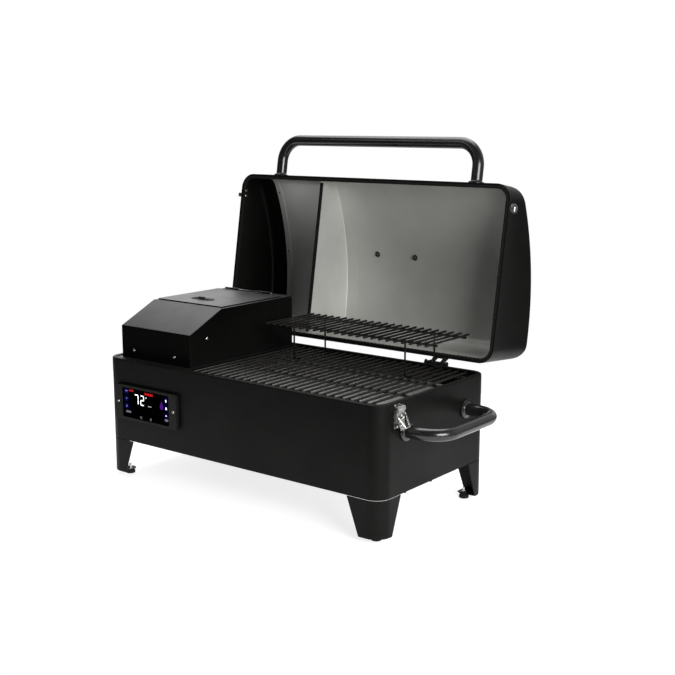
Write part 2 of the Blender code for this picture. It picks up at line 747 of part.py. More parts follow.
def pin_hole(x0, x1, y, z, radius, sides=24):
    """A cutter for a running bore: its flats clear the pin's corners by well under 0.1 mm."""
    across = (radius + 0.06 * MM) / math.cos(math.pi / sides)
    return rods(((x0 - MM, y, z), (x1 + MM, y, z), across), sides=sides)


def make_lid_hinges(lid):
    """Two hinges: a leaf on the tub, a leaf on the lid, and the pin through their knuckles."""
    half, centre = HINGE_WIDTH / 2, HINGE_WIDTH / 4
    wall, back = DEPTH + GAP, DEPTH + GAP + HINGE_LEAF
    knuckle_top = HINGE_Z - 3.5 * MM
    for name, sign in SIDES:
        x = sign * HINGE_X
        leaf = add(f"hinge_base_{name}",
                   boxes(((x - half, wall, 142 * MM), (x + half, back, HINGE_Z - 8.5 * MM))), BLACK)
        for low, high in ((x - half, x - centre), (x + centre, x + half)):
            arm = boxes(((low, wall, knuckle_top - 9 * MM), (high, HINGE_Y, knuckle_top)))
            fuse(leaf, arm, rods(((low, HINGE_Y, HINGE_Z), (high, HINGE_Y, HINGE_Z), HINGE_BARREL)))
        cut(leaf, pin_hole(x - half, x + half, HINGE_Y, HINGE_Z, HINGE_PIN_RADIUS))
        pin = rods(((x - half, HINGE_Y, HINGE_Z), (x + half, HINGE_Y, HINGE_Z), HINGE_PIN_RADIUS), sides=24)
        add(f"hinge_pin_{name}", pin, BLACK)
        low, high = x - centre + GAP, x + centre - GAP
        near, base = wall - 0.2 * MM, HEIGHT + LID_SEAT + MM
        leaf = add(f"hinge_leaf_{name}",
                   boxes(((low, near, base + 0.8 * MM), (high, back, base + 34.8 * MM))), BLACK, lid)
        fuse(leaf, boxes(((low, near, base), (high, HINGE_Y, base + 2.8 * MM))),
             rods(((low, HINGE_Y, HINGE_Z), (high, HINGE_Y, HINGE_Z), HINGE_BARREL)))
        cut(leaf, pin_hole(low, high, HINGE_Y, HINGE_Z, HINGE_PIN_RADIUS))


# ---------------------------------------------------------------- hopper

def hopper_outline(inset, base):
    """The hopper cover's side outline: upright front, sloped face, flat top, upright back."""
    run, rise = HOPPER_SLOPE_Y - HOPPER_FRONT, HOPPER_TOP_Z - HOPPER_FRONT_Z
    slant = math.hypot(run, rise)
    drop = inset * (slant - run) / rise
    ease = inset * (slant - rise) / run
    return [(HOPPER_FRONT + inset, base), (HOPPER_BACK - inset, base),
            (HOPPER_BACK - inset, HOPPER_TOP_Z - inset), (HOPPER_SLOPE_Y + drop, HOPPER_TOP_Z - inset),
            (HOPPER_FRONT + inset, HOPPER_FRONT_Z - ease)]


def make_hopper_cover():
    """The hopper's sheet cover, standing on the deck that closes the left bay, with its filling mouth."""
    mesh = prism("YZ", HOPPER_LEFT, HOPPER_RIGHT, hopper_outline(0, DECK_Z + MM))
    cover = add("hopper_housing", mesh, BLACK)
    deck = prism("XY", DECK_Z, DECK_Z + DECK_SHEET,
                 rounded_rectangle(-INSIDE_X + DECK_GAP, SHEET + DECK_GAP, DIVIDER_X - 1.5 * MM,
                                   INSIDE_BACK - DECK_GAP, 1.5 * MM, 2))
    corner_trim = [prism("XY", DECK_Z - MM, DECK_Z + 3 * MM, line) for line in deck_corners()]
    inside = prism("YZ", HOPPER_LEFT + HOPPER_SHEET, HOPPER_RIGHT - HOPPER_SHEET,
                   hopper_outline(HOPPER_SHEET, DECK_Z - 4 * MM))
    left, front, right, back = HOPPER_MOUTH
    mouth = boxes(((left, front, HOPPER_TOP_Z - THROUGH), (right, back, HOPPER_TOP_Z + THROUGH)))
    fuse(cover, deck)
    cut(cover, *corner_trim, inside, mouth)
    for _, end in FLAP_KNUCKLES:
        low, high = end + GAP, end + GAP + KNUCKLE_LENGTH
        foot = boxes(((low, HOPPER_PIN_Y - 3 * MM, HOPPER_TOP_Z - MM),
                      (high, HOPPER_PIN_Y + 3 * MM, HOPPER_PIN_Z)))
        fuse(cover, foot, hopper_barrel(low, high))
    cut(cover, pin_hole(FLAP_LEFT, FLAP_RIGHT, HOPPER_PIN_Y, HOPPER_PIN_Z, HOPPER_PIN_RADIUS, 12))


def hopper_barrel(low, high):
    """A hinge knuckle round the flap's pin."""
    ends = [(x, HOPPER_PIN_Y, HOPPER_PIN_Z) for x in (low, high)]
    return rods((*ends, HOPPER_BARREL), sides=12)


def deck_corners():
    """What the tub's round corners take off the deck, front and back."""
    x0, r = -INSIDE_X + DECK_GAP, CORNER - SHEET - DECK_GAP
    for y0, sign in ((SHEET + DECK_GAP, 1), (INSIDE_BACK - DECK_GAP, -1)):
        arc = [(x0 + r - r * math.cos(a), y0 + sign * (r - r * math.sin(a)))
               for a in (math.radians(90 * step / 5) for step in range(6))]
        yield [(x0 - 5 * MM, y0 - sign * 5 * MM), (x0 - 5 * MM, arc[0][1]), *arc,
               (arc[-1][0], y0 - sign * 5 * MM)]


def make_hopper_lid(flap):
    """The hopper's flap, its pull and the pin that it swings on."""
    z = HOPPER_TOP_Z + GAP
    mesh = prism("XY", z, z + FLAP_SHEET,
                 rounded_rectangle(FLAP_LEFT, FLAP_FRONT, FLAP_RIGHT, FLAP_BACK, 5 * MM, 2))
    plate = add("hopper_lid", mesh, BLACK, flap)
    for low, high in FLAP_KNUCKLES:
        tongue = boxes(((low, FLAP_BACK - 6 * MM, z + 0.5 * MM),
                        (high, HOPPER_PIN_Y, z + FLAP_SHEET - 0.1 * MM)))
        fuse(plate, tongue, hopper_barrel(low, high))
    cut(plate, pin_hole(FLAP_LEFT, FLAP_RIGHT, HOPPER_PIN_Y, HOPPER_PIN_Z, HOPPER_PIN_RADIUS, 12))
    base = z + FLAP_SHEET + GAP
    grip = [(178, 0), (200, 0), (200, 1.5), (192, 1.5), (181, 6.9), (178, 6.9), (178, 4.9)]
    mesh = prism("YZ", *PULL_ENDS, [(y * MM, base + rise * MM) for y, rise in grip])
    add("hopper_lid_pull", mesh, PLASTIC, flap)
    ends = FLAP_KNUCKLES[0][0] - MM, FLAP_KNUCKLES[-1][-1] + KNUCKLE_LENGTH + MM
    pin = rods(((ends[0], HOPPER_PIN_Y, HOPPER_PIN_Z), (ends[1], HOPPER_PIN_Y, HOPPER_PIN_Z),
                HOPPER_PIN_RADIUS), sides=12)
    add("hopper_hinge_pin", pin, STEEL)


def ring(bm, x0, y0, x1, y1, z):
    return [bm.verts.new(p) for p in ((x0, y0, z), (x1, y0, z), (x1, y1, z), (x0, y1, z))]


def fill_bin(bm):
    """The funnel's four walls, from the mouth down to the auger."""
    rings = [ring(bm, *sides, z) for sides, z in zip((BIN_MOUTH, BIN_MOUTH, BIN_NECK, BIN_NECK), BIN_LEVELS)]
    for upper, lower in zip(rings, rings[1:]):
        for side in range(4):
            bm.faces.new((lower[side], lower[(side + 1) % 4], upper[(side + 1) % 4], upper[side]))


def make_hopper_bin():
    """The pellet bin, and the slotted guard across it that keeps hands away from the auger."""
    thicken(add("hopper_bin", mesh_from(fill_bin), LINER), BIN_SHEET)
    clear = BIN_SHEET + GAP + 0.2 * MM
    left, front, right, back = BIN_MOUTH
    outline = rounded_rectangle(left + clear, front + clear, right - clear, back - clear, 3 * MM, 1)
    edge = 6.5 * MM
    slots = [rounded_rectangle(x, front + edge, x + GUARD_SLOT, back - edge, 2 * MM, 1) for x in GUARD_SLOTS]
    add("hopper_guard", prism("XY", GUARD_Z, GUARD_Z + GUARD_SHEET, outline, *slots), STEEL)


# ---------------------------------------------------------------- pellet feed

def fill_flight(bm):
    """One edge of the auger's blade, which a Screw modifier turns into the helix."""
    corners = ((3.5 * MM, 0), (AUGER_RADIUS, 0), (AUGER_RADIUS, 2 * MM), (3.5 * MM, 2 * MM))
    verts = [bm.verts.new((radius, 0, height)) for radius, height in reversed(corners)]
    for number in range(4):
        bm.edges.new((verts[number], verts[(number + 1) % 4]))


def helix(length):
    """The blade as a solid helix along +Z, from a Screw modifier with closed ends."""
    mesh = bpy.data.meshes.new("flight")
    bm = bmesh.new()
    fill_flight(bm)
    bm.to_mesh(mesh)
    bm.free()
    obj = bpy.data.objects.new("flight", mesh)
    bpy.context.scene.collection.objects.link(obj)
    turns = length / AUGER_PITCH
    screw = obj.modifiers.new("Screw", "SCREW")
    screw.angle = 2 * math.pi * turns
    screw.screw_offset = length
    screw.steps = screw.render_steps = round(9 * turns)
    screw.merge_threshold = 0.00001
    made = to_mesh(obj)
    bm = bmesh.new()
    bm.from_mesh(made)
    bmesh.ops.holes_fill(bm, edges=[e for e in bm.edges if e.is_boundary], sides=4)
    bmesh.ops.recalc_face_normals(bm, faces=bm.faces)
    bm.to_mesh(made)
    bm.free()
    return made


def axial(left, right, radius, sides=20, z=AUGER_Z):
    """A round rod along x in the fire's plane."""
    return rods(((left, FIRE_Y, z), (right, FIRE_Y, z), radius), sides=sides)


def upright(low, high, radius, sides=28):
    """A round rod on the burn pot's axis."""
    return rods(((POT_X, FIRE_Y, low), (POT_X, FIRE_Y, high), radius), sides=sides)


def make_feed(auger):
    """The auger in its tube, and the gear motor that turns it."""
    case = add("auger_tube", axial(AUGER_LEFT, AUGER_RIGHT, AUGER_TUBE_RADIUS), STEEL)
    left, front, right, back = BIN_NECK
    inset = 1.5 * MM
    throat = boxes(((left + inset, front + inset, AUGER_Z + 10 * MM),
                    (right - inset, back - inset, AUGER_Z + 25 * MM)))
    cut(case, axial(AUGER_LEFT - MM, AUGER_RIGHT + MM, AUGER_TUBE_BORE), throat)
    core = axial(AUGER_LEFT - 12 * MM, AUGER_RIGHT - 2 * MM, AUGER_CORE, 12)
    screw = add("auger_screw", core, STEEL, auger)
    blade = helix(AUGER_RIGHT - AUGER_LEFT - 8 * MM)
    blade.transform(Matrix.Translation((AUGER_LEFT + 2 * MM, FIRE_Y, AUGER_Z))
                    @ Matrix.Rotation(math.pi / 2, 4, "Y"))
    fuse(screw, blade)
    left, right = MOTOR_X
    gears = boxes(((left, 162 * MM, AUGER_Z - 28 * MM), (right, 220 * MM, AUGER_Z + 28 * MM)))
    motor = add("auger_motor", gears, CASING)
    y, z = FIRE_Y + 6 * MM, AUGER_Z + 4 * MM
    can = rods(((left - 24 * MM, y, z), (left + 2 * MM, y, z), MOTOR_CAN_RADIUS), sides=20)
    stand = boxes(((right - 3 * MM, 170 * MM, FLOOR_TOP), (right - MM, 212 * MM, AUGER_Z - 26 * MM)))
    foot = boxes(((right - 24 * MM, 170 * MM, FLOOR_TOP),
                  (right - 2 * MM, 212 * MM, FLOOR_TOP + SHEET)))
    fuse(motor, can, stand, foot)


def make_fire():
    """The burn pot, the air box round it, and the igniter."""
    pot = add("burn_pot", upright(POT_BASE, POT_TOP, POT_RADIUS), STEEL)
    hollow = upright(POT_BASE + POT_SHEET, POT_TOP + MM, POT_RADIUS - POT_SHEET)
    near, far = POT_X - 50 * MM, POT_X - 20 * MM
    feed = axial(near, far, AUGER_TUBE_RADIUS + 0.4 * MM)
    spark = axial(near, far, IGNITER_RADIUS + 0.6 * MM, 12, IGNITER_Z)
    air = []
    for number in range(1, 6):
        angle = math.pi + number * math.pi / 3
        way = Vector((math.cos(angle), math.sin(angle), 0))
        centre = Vector((POT_X, FIRE_Y, AIR_HOLE_Z))
        ends = centre + way * (POT_RADIUS - 8 * MM), centre + way * (POT_RADIUS + 7 * MM)
        air.append((*ends, AIR_HOLE_RADIUS))
    cut(pot, hollow, feed, spark, rods(*air, sides=8))
    left, front, right, back = AIR_BOX
    box = add("air_box", boxes(((left, front, FLOOR_TOP), (right, back, AIR_TOP))), BLACK)
    room = boxes(((left - 10 * MM, front + AIR_SHEET, -5 * MM),
                  (right - AIR_SHEET, back - AIR_SHEET, AIR_TOP - AIR_SHEET)))
    cut(box, room, upright(AIR_TOP - 10 * MM, AIR_TOP + 5 * MM, POT_RADIUS + 0.6 * MM))
    igniter = add("igniter_rod", axial(-190 * MM, POT_X - 34 * MM, IGNITER_RADIUS, 12, IGNITER_Z), STEEL)
    fuse(igniter, axial(-196 * MM, -176 * MM, IGNITER_RADIUS + 3 * MM, 12, IGNITER_Z))


def make_fan(rotor):
    """A square-framed axial fan on the divider, which blows into the air box."""
    half, right = 30 * MM, DIVIDER_X - 1.3 * MM
    left = right - 20 * MM
    square = boxes(((left, FAN_Y - half, FAN_Z - half), (right, FAN_Y + half, FAN_Z + half)))
    frame = add("fan_housing", square, PLASTIC)
    cut(frame, rods(((left - MM, FAN_Y, FAN_Z), (right + MM, FAN_Y, FAN_Z), FAN_RADIUS + MM), sides=24))
    spoke = 2 * MM
    bar = boxes(((left, FAN_Y - half + MM, FAN_Z - spoke), (left + 3 * MM, FAN_Y + half - MM, FAN_Z + spoke)))
    fuse(frame, bar, rods(((left, FAN_Y, FAN_Z), (left + 3 * MM, FAN_Y, FAN_Z), 11 * MM), sides=20))
    hub = rods(((left + 3.5 * MM, FAN_Y, FAN_Z), (right - 3 * MM, FAN_Y, FAN_Z), 10 * MM), sides=20)
    wheel = add("fan_impeller", hub, PLASTIC, rotor)
    blades = []
    for number in range(5):
        blade = boxes(((-0.7 * MM, -5 * MM, 8.5 * MM), (0.7 * MM, 5 * MM, FAN_RADIUS - 0.6 * MM)))
        blade.transform(Matrix.Translation((left + 10.5 * MM, FAN_Y, FAN_Z))
                        @ Matrix.Rotation(2 * math.pi * number / 5, 4, "X")
                        @ Matrix.Rotation(math.radians(40), 4, "Z"))
        blades.append(blade)
    fuse(wheel, *blades)


# ---------------------------------------------------------------- cooking chamber

def spout(low, high, radius):
    return rods(((SPOUT_X, SPOUT_Y, low), (SPOUT_X, SPOUT_Y, high), radius))


def make_diffuser_and_tray():
    """The heat diffuser over the fire, and the sloped drip tray with its drain spout."""
    low, top, sheet = AIR_TOP + GAP, DIFFUSER_TOP, 2 * MM
    left, front, right, back = DIFFUSER
    outline = [(front, low), (front + sheet, low), (front + sheet, top - sheet), (back - sheet, top - sheet),
               (back - sheet, low), (back, low), (back, top), (front, top)]
    add("heat_diffuser", prism("YZ", left, right, outline), LINER)
    left, front, right, back = TRAY
    outer = boxes(((left, front, 0), (right, back, TRAY_WALL)))
    inner = boxes(((left + TRAY_SHEET, front + TRAY_SHEET, TRAY_SHEET),
                   (right - TRAY_SHEET, back - TRAY_SHEET, TRAY_WALL + 8 * MM)))
    slope = Matrix.Translation((0, 0, TRAY_Z)) @ Matrix.Rotation(-TRAY_SLOPE, 4, "X")
    outer.transform(slope)
    inner.transform(slope)
    tray = add("drip_tray", outer, LINER)
    cut(tray, inner)
    fuse(tray, spout(-3 * MM, TRAY_Z - 8 * MM, SPOUT_RADIUS))
    cut(tray, spout(-8 * MM, TRAY_Z + 3 * MM, SPOUT_RADIUS - TRAY_SHEET))


def make_drawer(slider):
    """The grease drawer under the floor and the rails that hold it."""
    low, high = SPOUT_X - DRAWER_HALF, SPOUT_X + DRAWER_HALF
    sheet, under = DRAWER_SHEET, DRAWER_TOP - DRAWER_SHEET
    drawer = add("grease_drawer", boxes(((low, DRAWER_FRONT, DRAWER_BASE), (high, DRAWER_BACK, DRAWER_TOP))),
                 STEEL, slider)
    flanges = boxes(((low - 6 * MM, DRAWER_FRONT, under), (high + 6 * MM, DRAWER_BACK, DRAWER_TOP)))
    grip_low, grip_high, grip_back = low + 20 * MM, high - 20 * MM, DRAWER_BACK + 16 * MM
    reach = boxes(((grip_low, DRAWER_BACK - MM, under - 1.5 * MM), (grip_high, grip_back, under)))
    lip = boxes(((grip_low, grip_back - 1.5 * MM, under - 12.5 * MM), (grip_high, grip_back, under)))
    fuse(drawer, flanges, reach, lip)
    cut(drawer, boxes(((low + sheet, DRAWER_FRONT + sheet, DRAWER_BASE + sheet),
                       (high - sheet, DRAWER_BACK - sheet, 0))))
    web = 8 * MM
    stop = boxes(((low - web - RAIL_SHEET, RAIL_FRONT, RAIL_BASE),
                  (high + web + RAIL_SHEET, RAIL_FRONT + 2 * MM, -GAP)))
    rails = add("drawer_rails", stop, BLACK)
    start = RAIL_FRONT + MM
    for sign, edge in ((-1, low), (1, high)):
        wall = sorted((edge + sign * web, edge + sign * (web + RAIL_SHEET)))
        shelf = sorted((edge + sign * 2 * MM, edge + sign * (web + MM)))
        fuse(rails, boxes(((wall[0], start, RAIL_BASE), (wall[1], DRAWER_BACK, -GAP))),
             boxes(((shelf[0], start, RAIL_BASE), (shelf[1], DRAWER_BACK, under - GAP))))


def make_main_grate(lift):
    """The cooking grate: rods from front to back on four cross rods that rest on the two ledges."""
    half = GRATE_ROD / 2
    bars = [((x - half, 15 * MM, GRATE_TOP - GRATE_ROD), (x + half, 367 * MM, GRATE_TOP))
            for x in (GRATE_FIRST_X + GRATE_PITCH * number for number in range(GRATE_RODS))]
    cross = [((-131 * MM, y * MM - half, GRATE_REST_Z + GAP), (366 * MM, y * MM + half, 178.8 * MM))
             for y in (40, 138, 244, 342)]
    return fuse(add("main_grate", boxes(*bars), ENAMEL, lift), boxes(*cross))


def make_warming_rack(lift):
    """The upper rack: rods on two long edge rods, standing on the main grate on four looped wire legs."""
    half = RACK_ROD / 2
    right = RACK_LEFT + RACK_PITCH * (RACK_RODS - 1)
    bars = [((x - half, RACK_FRONT, RACK_TOP - RACK_ROD), (x + half, RACK_BACK, RACK_TOP))
            for x in (RACK_LEFT + RACK_PITCH * number for number in range(RACK_RODS))]
    edge = RACK_TOP - 2 * RACK_ROD + 0.5 * MM
    cross = [((RACK_LEFT - 3 * MM, y - half, edge), (right + 3 * MM, y + half, edge + RACK_ROD))
             for y in RACK_EDGES]
    rack = fuse(add("warming_rack", boxes(*bars), ENAMEL, lift), boxes(*cross))
    leg = RACK_LEG / 2
    foot = GRATE_TOP + GAP + leg
    for x in RACK_FEET:
        for y in RACK_EDGES:
            line = [(x, y, edge + 2.2 * MM), (x, y, foot), (x + RACK_FOOT_LENGTH, y, foot)]
            fuse(rack, tube(filleted(line, 6 * MM, 3), leg, 1))
    return rack


def make_probe():
    """The chamber's temperature probe, with the nut that holds it on the divider."""
    start, tip = ((x, PROBE_Y, PROBE_Z) for x in PROBE_X)
    probe = add("temp_probe", rods((start, tip, 3 * MM), sides=12), STEEL)
    fuse(probe, rods((start, (PROBE_X[0] + 5.7 * MM, PROBE_Y, PROBE_Z), 6 * MM), sides=6))


# ---------------------------------------------------------------- controls

def make_controller():
    """The front panel: bezel, display glass and the board behind them."""
    left, low, right, high = PANE
    bezel = rounded_rectangle(*BEZEL, 9 * MM, 4)
    window = rounded_rectangle(left - GAP, low - GAP, right + GAP, high + GAP, 3 * MM, 2)
    add("control_bezel", prism("XZ", BEZEL_FACE, -GAP, bezel, window), PLASTIC)
    add("display_glass", prism("XZ", PANE_FACE, -GAP, rounded_rectangle(*PANE, 2.7 * MM, 2)), GLASS)
    board = add("control_board", boxes((BOARD_LOW, BOARD_HIGH)), BOARD)
    fuse(board, boxes(((-305 * MM, 7 * MM, 72 * MM), (-279 * MM, 22 * MM, 96 * MM)),
                      ((-265 * MM, 7 * MM, 80 * MM), (-247 * MM, 10 * MM, 98 * MM)),
                      ((-230 * MM, 7 * MM, 72 * MM), (-195 * MM, 16 * MM, 84 * MM))),
         boxes(((-307 * MM, 0.5 * MM, 70 * MM), (-301 * MM, 6.5 * MM, 76 * MM)),
               ((-195 * MM, 0.5 * MM, 106 * MM), (-189 * MM, 6.5 * MM, 112 * MM))))


def make_power(rocker):
    """The power socket and its rocker switch on the back of the hopper bay."""
    face = DEPTH + GAP
    left, low, right, high = SOCKET_HOLE
    edge = 0.5 * MM
    flange = prism("XZ", face, face + 2 * MM, rounded_rectangle(*INLET, 4 * MM, 2))
    inlet = add("power_inlet", flange, PLASTIC)
    fuse(inlet, boxes(((left + edge, 358 * MM, low + edge), (right - edge, face + MM, high - edge))))
    cut(inlet, boxes(((-330 * MM, 364 * MM, 41.5 * MM), (-298 * MM, face + 5 * MM, 60.5 * MM)),
                     ((-286 * MM, 366 * MM, 40 * MM), (-264 * MM, face + 5 * MM, 62 * MM))))
    fuse(inlet, boxes(*[((x * MM, 362 * MM, z * MM), ((x + 2) * MM, 378 * MM, (z + 6) * MM))
                        for x, z in ((-322, 45), (-308, 45), (-315, 51.5))]))
    key = [(-7, -8.6), (3, -8.6), (3.8, 0), (3, 8.6), (-7, 8.6)]
    mesh = prism("YZ", -285 * MM, -265 * MM, [(y * MM, z * MM) for y, z in key])
    mesh.transform(Matrix.Translation((0, *rocker["drawn_at"][1:])) @ Matrix.Rotation(ROCKER_TILT, 4, "X"))
    add("power_switch", mesh, PLASTIC, rocker)


# ---------------------------------------------------------------- latches

def make_latches(levers, bails, lid):
    """A toggle latch on each end face: base, lever and wire bail, and the hooked keeper on the lid."""
    x, z = LEVER_PIVOT
    half = LATCH_WIDTH / 2
    low_y, high_y = LATCH_Y - half, LATCH_Y + half
    wall = SIDE_X + GAP
    plate = boxes(((wall, low_y, z - 40 * MM), (wall + 1.5 * MM, high_y, z + 7 * MM)))
    ears = boxes(*[((wall + MM, y, z - 5 * MM), (x + 3.4 * MM, y + 1.2 * MM, z + 4 * MM))
                   for y in (low_y, high_y - 1.2 * MM)])
    bolt = rods(((x, low_y + 0.5 * MM, z), (x, high_y - 0.5 * MM, z), 1.5 * MM), sides=12)
    inner = half - 2.4 * MM
    arm_line = [(x - 2.8 * MM, z + 2.8 * MM), (x + 2.8 * MM, z + 2.8 * MM), (x + 2.8 * MM, z - 29 * MM),
                (x + 7 * MM, z - 40 * MM), (x + 5.2 * MM, z - 41 * MM), (x - 2.8 * MM, z - 30 * MM)]
    arm = prism("XZ", LATCH_Y - inner, LATCH_Y + inner, arm_line)
    bore = pin_hole(0, 0, 0, 0, 1.5 * MM, 12)
    bore.transform(Matrix.Translation((x, LATCH_Y, z)) @ Matrix.Rotation(math.pi / 2, 4, "Z")
                   @ Matrix.Diagonal((20, 1, 1, 1)))
    bx, bz = BAIL_PIVOT
    short = half - 1.6 * MM
    bail_pin = rods(((bx, LATCH_Y - short, bz), (bx, LATCH_Y + short, bz), 1.2 * MM), sides=8)
    reach, narrow = BAIL_LENGTH, 6.5 * MM
    side = half + 2 * MM
    loop = [(0, half - 0.9 * MM, 0), (0, side, 0), (0, side, 8 * MM), (0, narrow, reach),
            (0, -narrow, reach), (0, -side, 8 * MM), (0, -side, 0), (0, 0.9 * MM - half, 0)]
    wire = tube(filleted(loop, 1.6 * MM, 2), BAIL_WIRE, 1)
    wire.transform(Matrix.Translation((bx, LATCH_Y, bz)) @ Matrix.Rotation(math.pi - BAIL_HANG, 4, "Y"))
    hook_z = bz + BAIL_LENGTH - BAIL_WIRE
    face, tip = wall + 1.5 * MM, hook_z + 4 * MM
    hook_line = [(wall, KEEPER_LOW), (bx + 4.4 * MM, KEEPER_LOW), (bx + 5.4 * MM, tip), (bx + 4.1 * MM, tip),
                 (bx + 2.6 * MM, hook_z - GAP), (face, hook_z - GAP), (face, KEEPER_TOP), (wall, KEEPER_TOP)]
    keeper = prism("XZ", LATCH_Y - 4.5 * MM, LATCH_Y + 4.5 * MM, hook_line)
    wide = 12 * MM
    keeper_plate = boxes(((wall, LATCH_Y - wide, KEEPER_TOP - 24 * MM), (face, LATCH_Y + wide, KEEPER_TOP)))
    for name, sign in SIDES:
        base = add(f"latch_base_{name}", side_mesh(plate, sign), STEEL)
        fuse(base, side_mesh(ears, sign), side_mesh(bolt, sign))
        lever = add(f"latch_lever_{name}", side_mesh(arm, sign), STEEL, levers[name])
        cut(lever, side_mesh(bore, sign))
        fuse(lever, side_mesh(bail_pin, sign))
        add(f"latch_bail_{name}", side_mesh(wire, sign), STEEL, bails[name])
        catch = add(f"latch_keeper_{name}", side_mesh(keeper, sign), STEEL, lid)
        fuse(catch, side_mesh(keeper_plate, sign))


# ---------------------------------------------------------------- assembly

def smooth_round_parts():
    """Round parts shade smooth, with creases kept sharp."""
    for obj in parts.objects:
        if obj.type == "MESH":
            obj.data.shade_smooth()
            obj.data.set_sharp_from_angle(angle=math.radians(35))


def main():
    lid = pivot("lid_pivot", (0, HINGE_Y, HINGE_Z))
    flap = pivot("hopper_lid_pivot", (0, HOPPER_PIN_Y, HOPPER_PIN_Z))
    auger = pivot("auger_axis", (0, FIRE_Y, AUGER_Z))
    rotor = pivot("fan_axis", (0, FAN_Y, FAN_Z))
    slider = pivot("drawer_slide", (SPOUT_X, DRAWER_BACK, -5 * MM))
    lift = pivot("grate_lift", (0, DEPTH / 2, GRATE_REST_Z))
    rocker = pivot("switch_axis", (-275 * MM, DEPTH, 51 * MM))
    levers = {name: pivot(f"lever_axis_{name}", (sign * LEVER_PIVOT[0], LATCH_Y, LEVER_PIVOT[1]))
              for name, sign in SIDES}
    bails = {name: pivot(f"bail_axis_{name}", (sign * BAIL_PIVOT[0], LATCH_Y, BAIL_PIVOT[1]))
             for name, sign in SIDES}

    make_tub()
    make_divider()
    make_ledge()
    make_legs()
    make_side_handles()
    make_controller()
    make_power(rocker)
    make_hopper_cover()
    make_hopper_bin()
    make_hopper_lid(flap)
    make_feed(auger)
    make_fire()
    make_fan(rotor)
    make_diffuser_and_tray()
    make_drawer(slider)
    make_main_grate(lift)
    make_warming_rack(lift)
    make_probe()
    make_lid_shell(lid)
    make_lid_liner(lid)
    make_lid_partition(lid)
    make_lid_gasket(lid)
    make_lid_handle(lid)
    make_badge(lid)
    make_lid_hinges(lid)
    make_latches(levers, bails, lid)

    lid.rotation_euler.x = -LID_OPEN
    smooth_round_parts()
    bpy.context.view_layer.update()


main()
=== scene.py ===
import json
import math

import bmesh
import bpy
from mathutils import Matrix, Vector


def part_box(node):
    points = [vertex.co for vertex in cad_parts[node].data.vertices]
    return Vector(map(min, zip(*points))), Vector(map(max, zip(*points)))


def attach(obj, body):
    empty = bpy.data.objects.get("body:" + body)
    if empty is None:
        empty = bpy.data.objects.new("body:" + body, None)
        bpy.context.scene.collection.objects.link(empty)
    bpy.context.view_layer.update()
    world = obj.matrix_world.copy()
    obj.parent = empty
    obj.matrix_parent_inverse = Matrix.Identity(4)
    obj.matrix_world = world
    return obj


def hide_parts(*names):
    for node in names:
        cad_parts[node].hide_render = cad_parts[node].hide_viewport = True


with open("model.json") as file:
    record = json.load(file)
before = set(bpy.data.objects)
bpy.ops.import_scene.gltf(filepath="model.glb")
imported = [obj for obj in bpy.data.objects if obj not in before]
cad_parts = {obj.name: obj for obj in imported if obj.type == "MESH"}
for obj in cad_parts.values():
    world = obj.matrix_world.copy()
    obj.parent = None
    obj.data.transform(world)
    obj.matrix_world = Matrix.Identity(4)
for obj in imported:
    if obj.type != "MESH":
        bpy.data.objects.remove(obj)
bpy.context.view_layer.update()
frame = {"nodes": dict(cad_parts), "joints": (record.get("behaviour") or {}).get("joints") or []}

MM = 0.001

# Everything is drawn from the tub's datum, the middle of its front bottom edge, and the lid's pieces as if it
# were closed. STAND and LID take what is drawn to its place.
TUB_LOW, TUB_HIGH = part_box("body_shell")
STAND = Matrix.Translation((0, TUB_LOW.y, TUB_LOW.z))
WIDTH, DEPTH, HEIGHT = TUB_HIGH - TUB_LOW
SIDE_X = WIDTH / 2


def joint(name):
    return next(j for j in frame["joints"] if j["name"] == name)


def turned(name, degrees):
    """The turn about a joint's axis that takes a piece drawn in the tub to where it rests."""
    at = Vector(joint(name)["pos_m"])
    turn = Matrix.Rotation(math.radians(degrees), 4, Vector(joint(name)["axis"]))
    return Matrix.Translation(at) @ turn @ Matrix.Translation(-at) @ STAND


LID = turned("lid_hinge", -joint("lid_hinge")["range_deg"][1])


def drawn_box(node, place=STAND):
    """A CAD node's lowest and highest corners, as it is drawn."""
    back = place.inverted()
    points = [back @ v.co for v in frame["nodes"][node].data.vertices]
    low = Vector([min(p[axis] for p in points) for axis in range(3)])
    high = Vector([max(p[axis] for p in points) for axis in range(3)])
    return low, high


# ---------------------------------------------------------------- materials

def new_material(name, colour, roughness, metallic=0.0):
    made = bpy.data.materials.new(name)
    made.use_nodes = True
    shader = made.node_tree.nodes["Principled BSDF"]
    shader.inputs["Base Color"].default_value = (*colour, 1)
    shader.inputs["Roughness"].default_value = roughness
    shader.inputs["Metallic"].default_value = metallic
    return made, made.node_tree, shader


def node(tree, kind, **inputs):
    made = tree.nodes.new(kind)
    for key, value in inputs.items():
        made.inputs[key.replace("_", " ")].default_value = value
    return made


def noise(tree, scale, detail, stretch=(1, 1, 1)):
    """Noise in object space, stretched along the axes."""
    place = tree.nodes.new("ShaderNodeTexCoord")
    shape = tree.nodes.new("ShaderNodeMapping")
    shape.inputs["Scale"].default_value = stretch
    made = node(tree, "ShaderNodeTexNoise", Scale=scale, Detail=detail, Roughness=0.55)
    tree.links.new(place.outputs["Object"], shape.inputs["Vector"])
    tree.links.new(shape.outputs["Vector"], made.inputs["Vector"])
    return made.outputs["Fac"]


def between(tree, factor, low, high, start=0.35, end=0.65):
    """A value that runs from low to high as the factor goes from start to end."""
    made = tree.nodes.new("ShaderNodeMapRange")
    for key, value in (("From Min", start), ("From Max", end), ("To Min", low), ("To Max", high)):
        made.inputs[key].default_value = value
    tree.links.new(factor, made.inputs["Value"])
    return made.outputs["Result"]


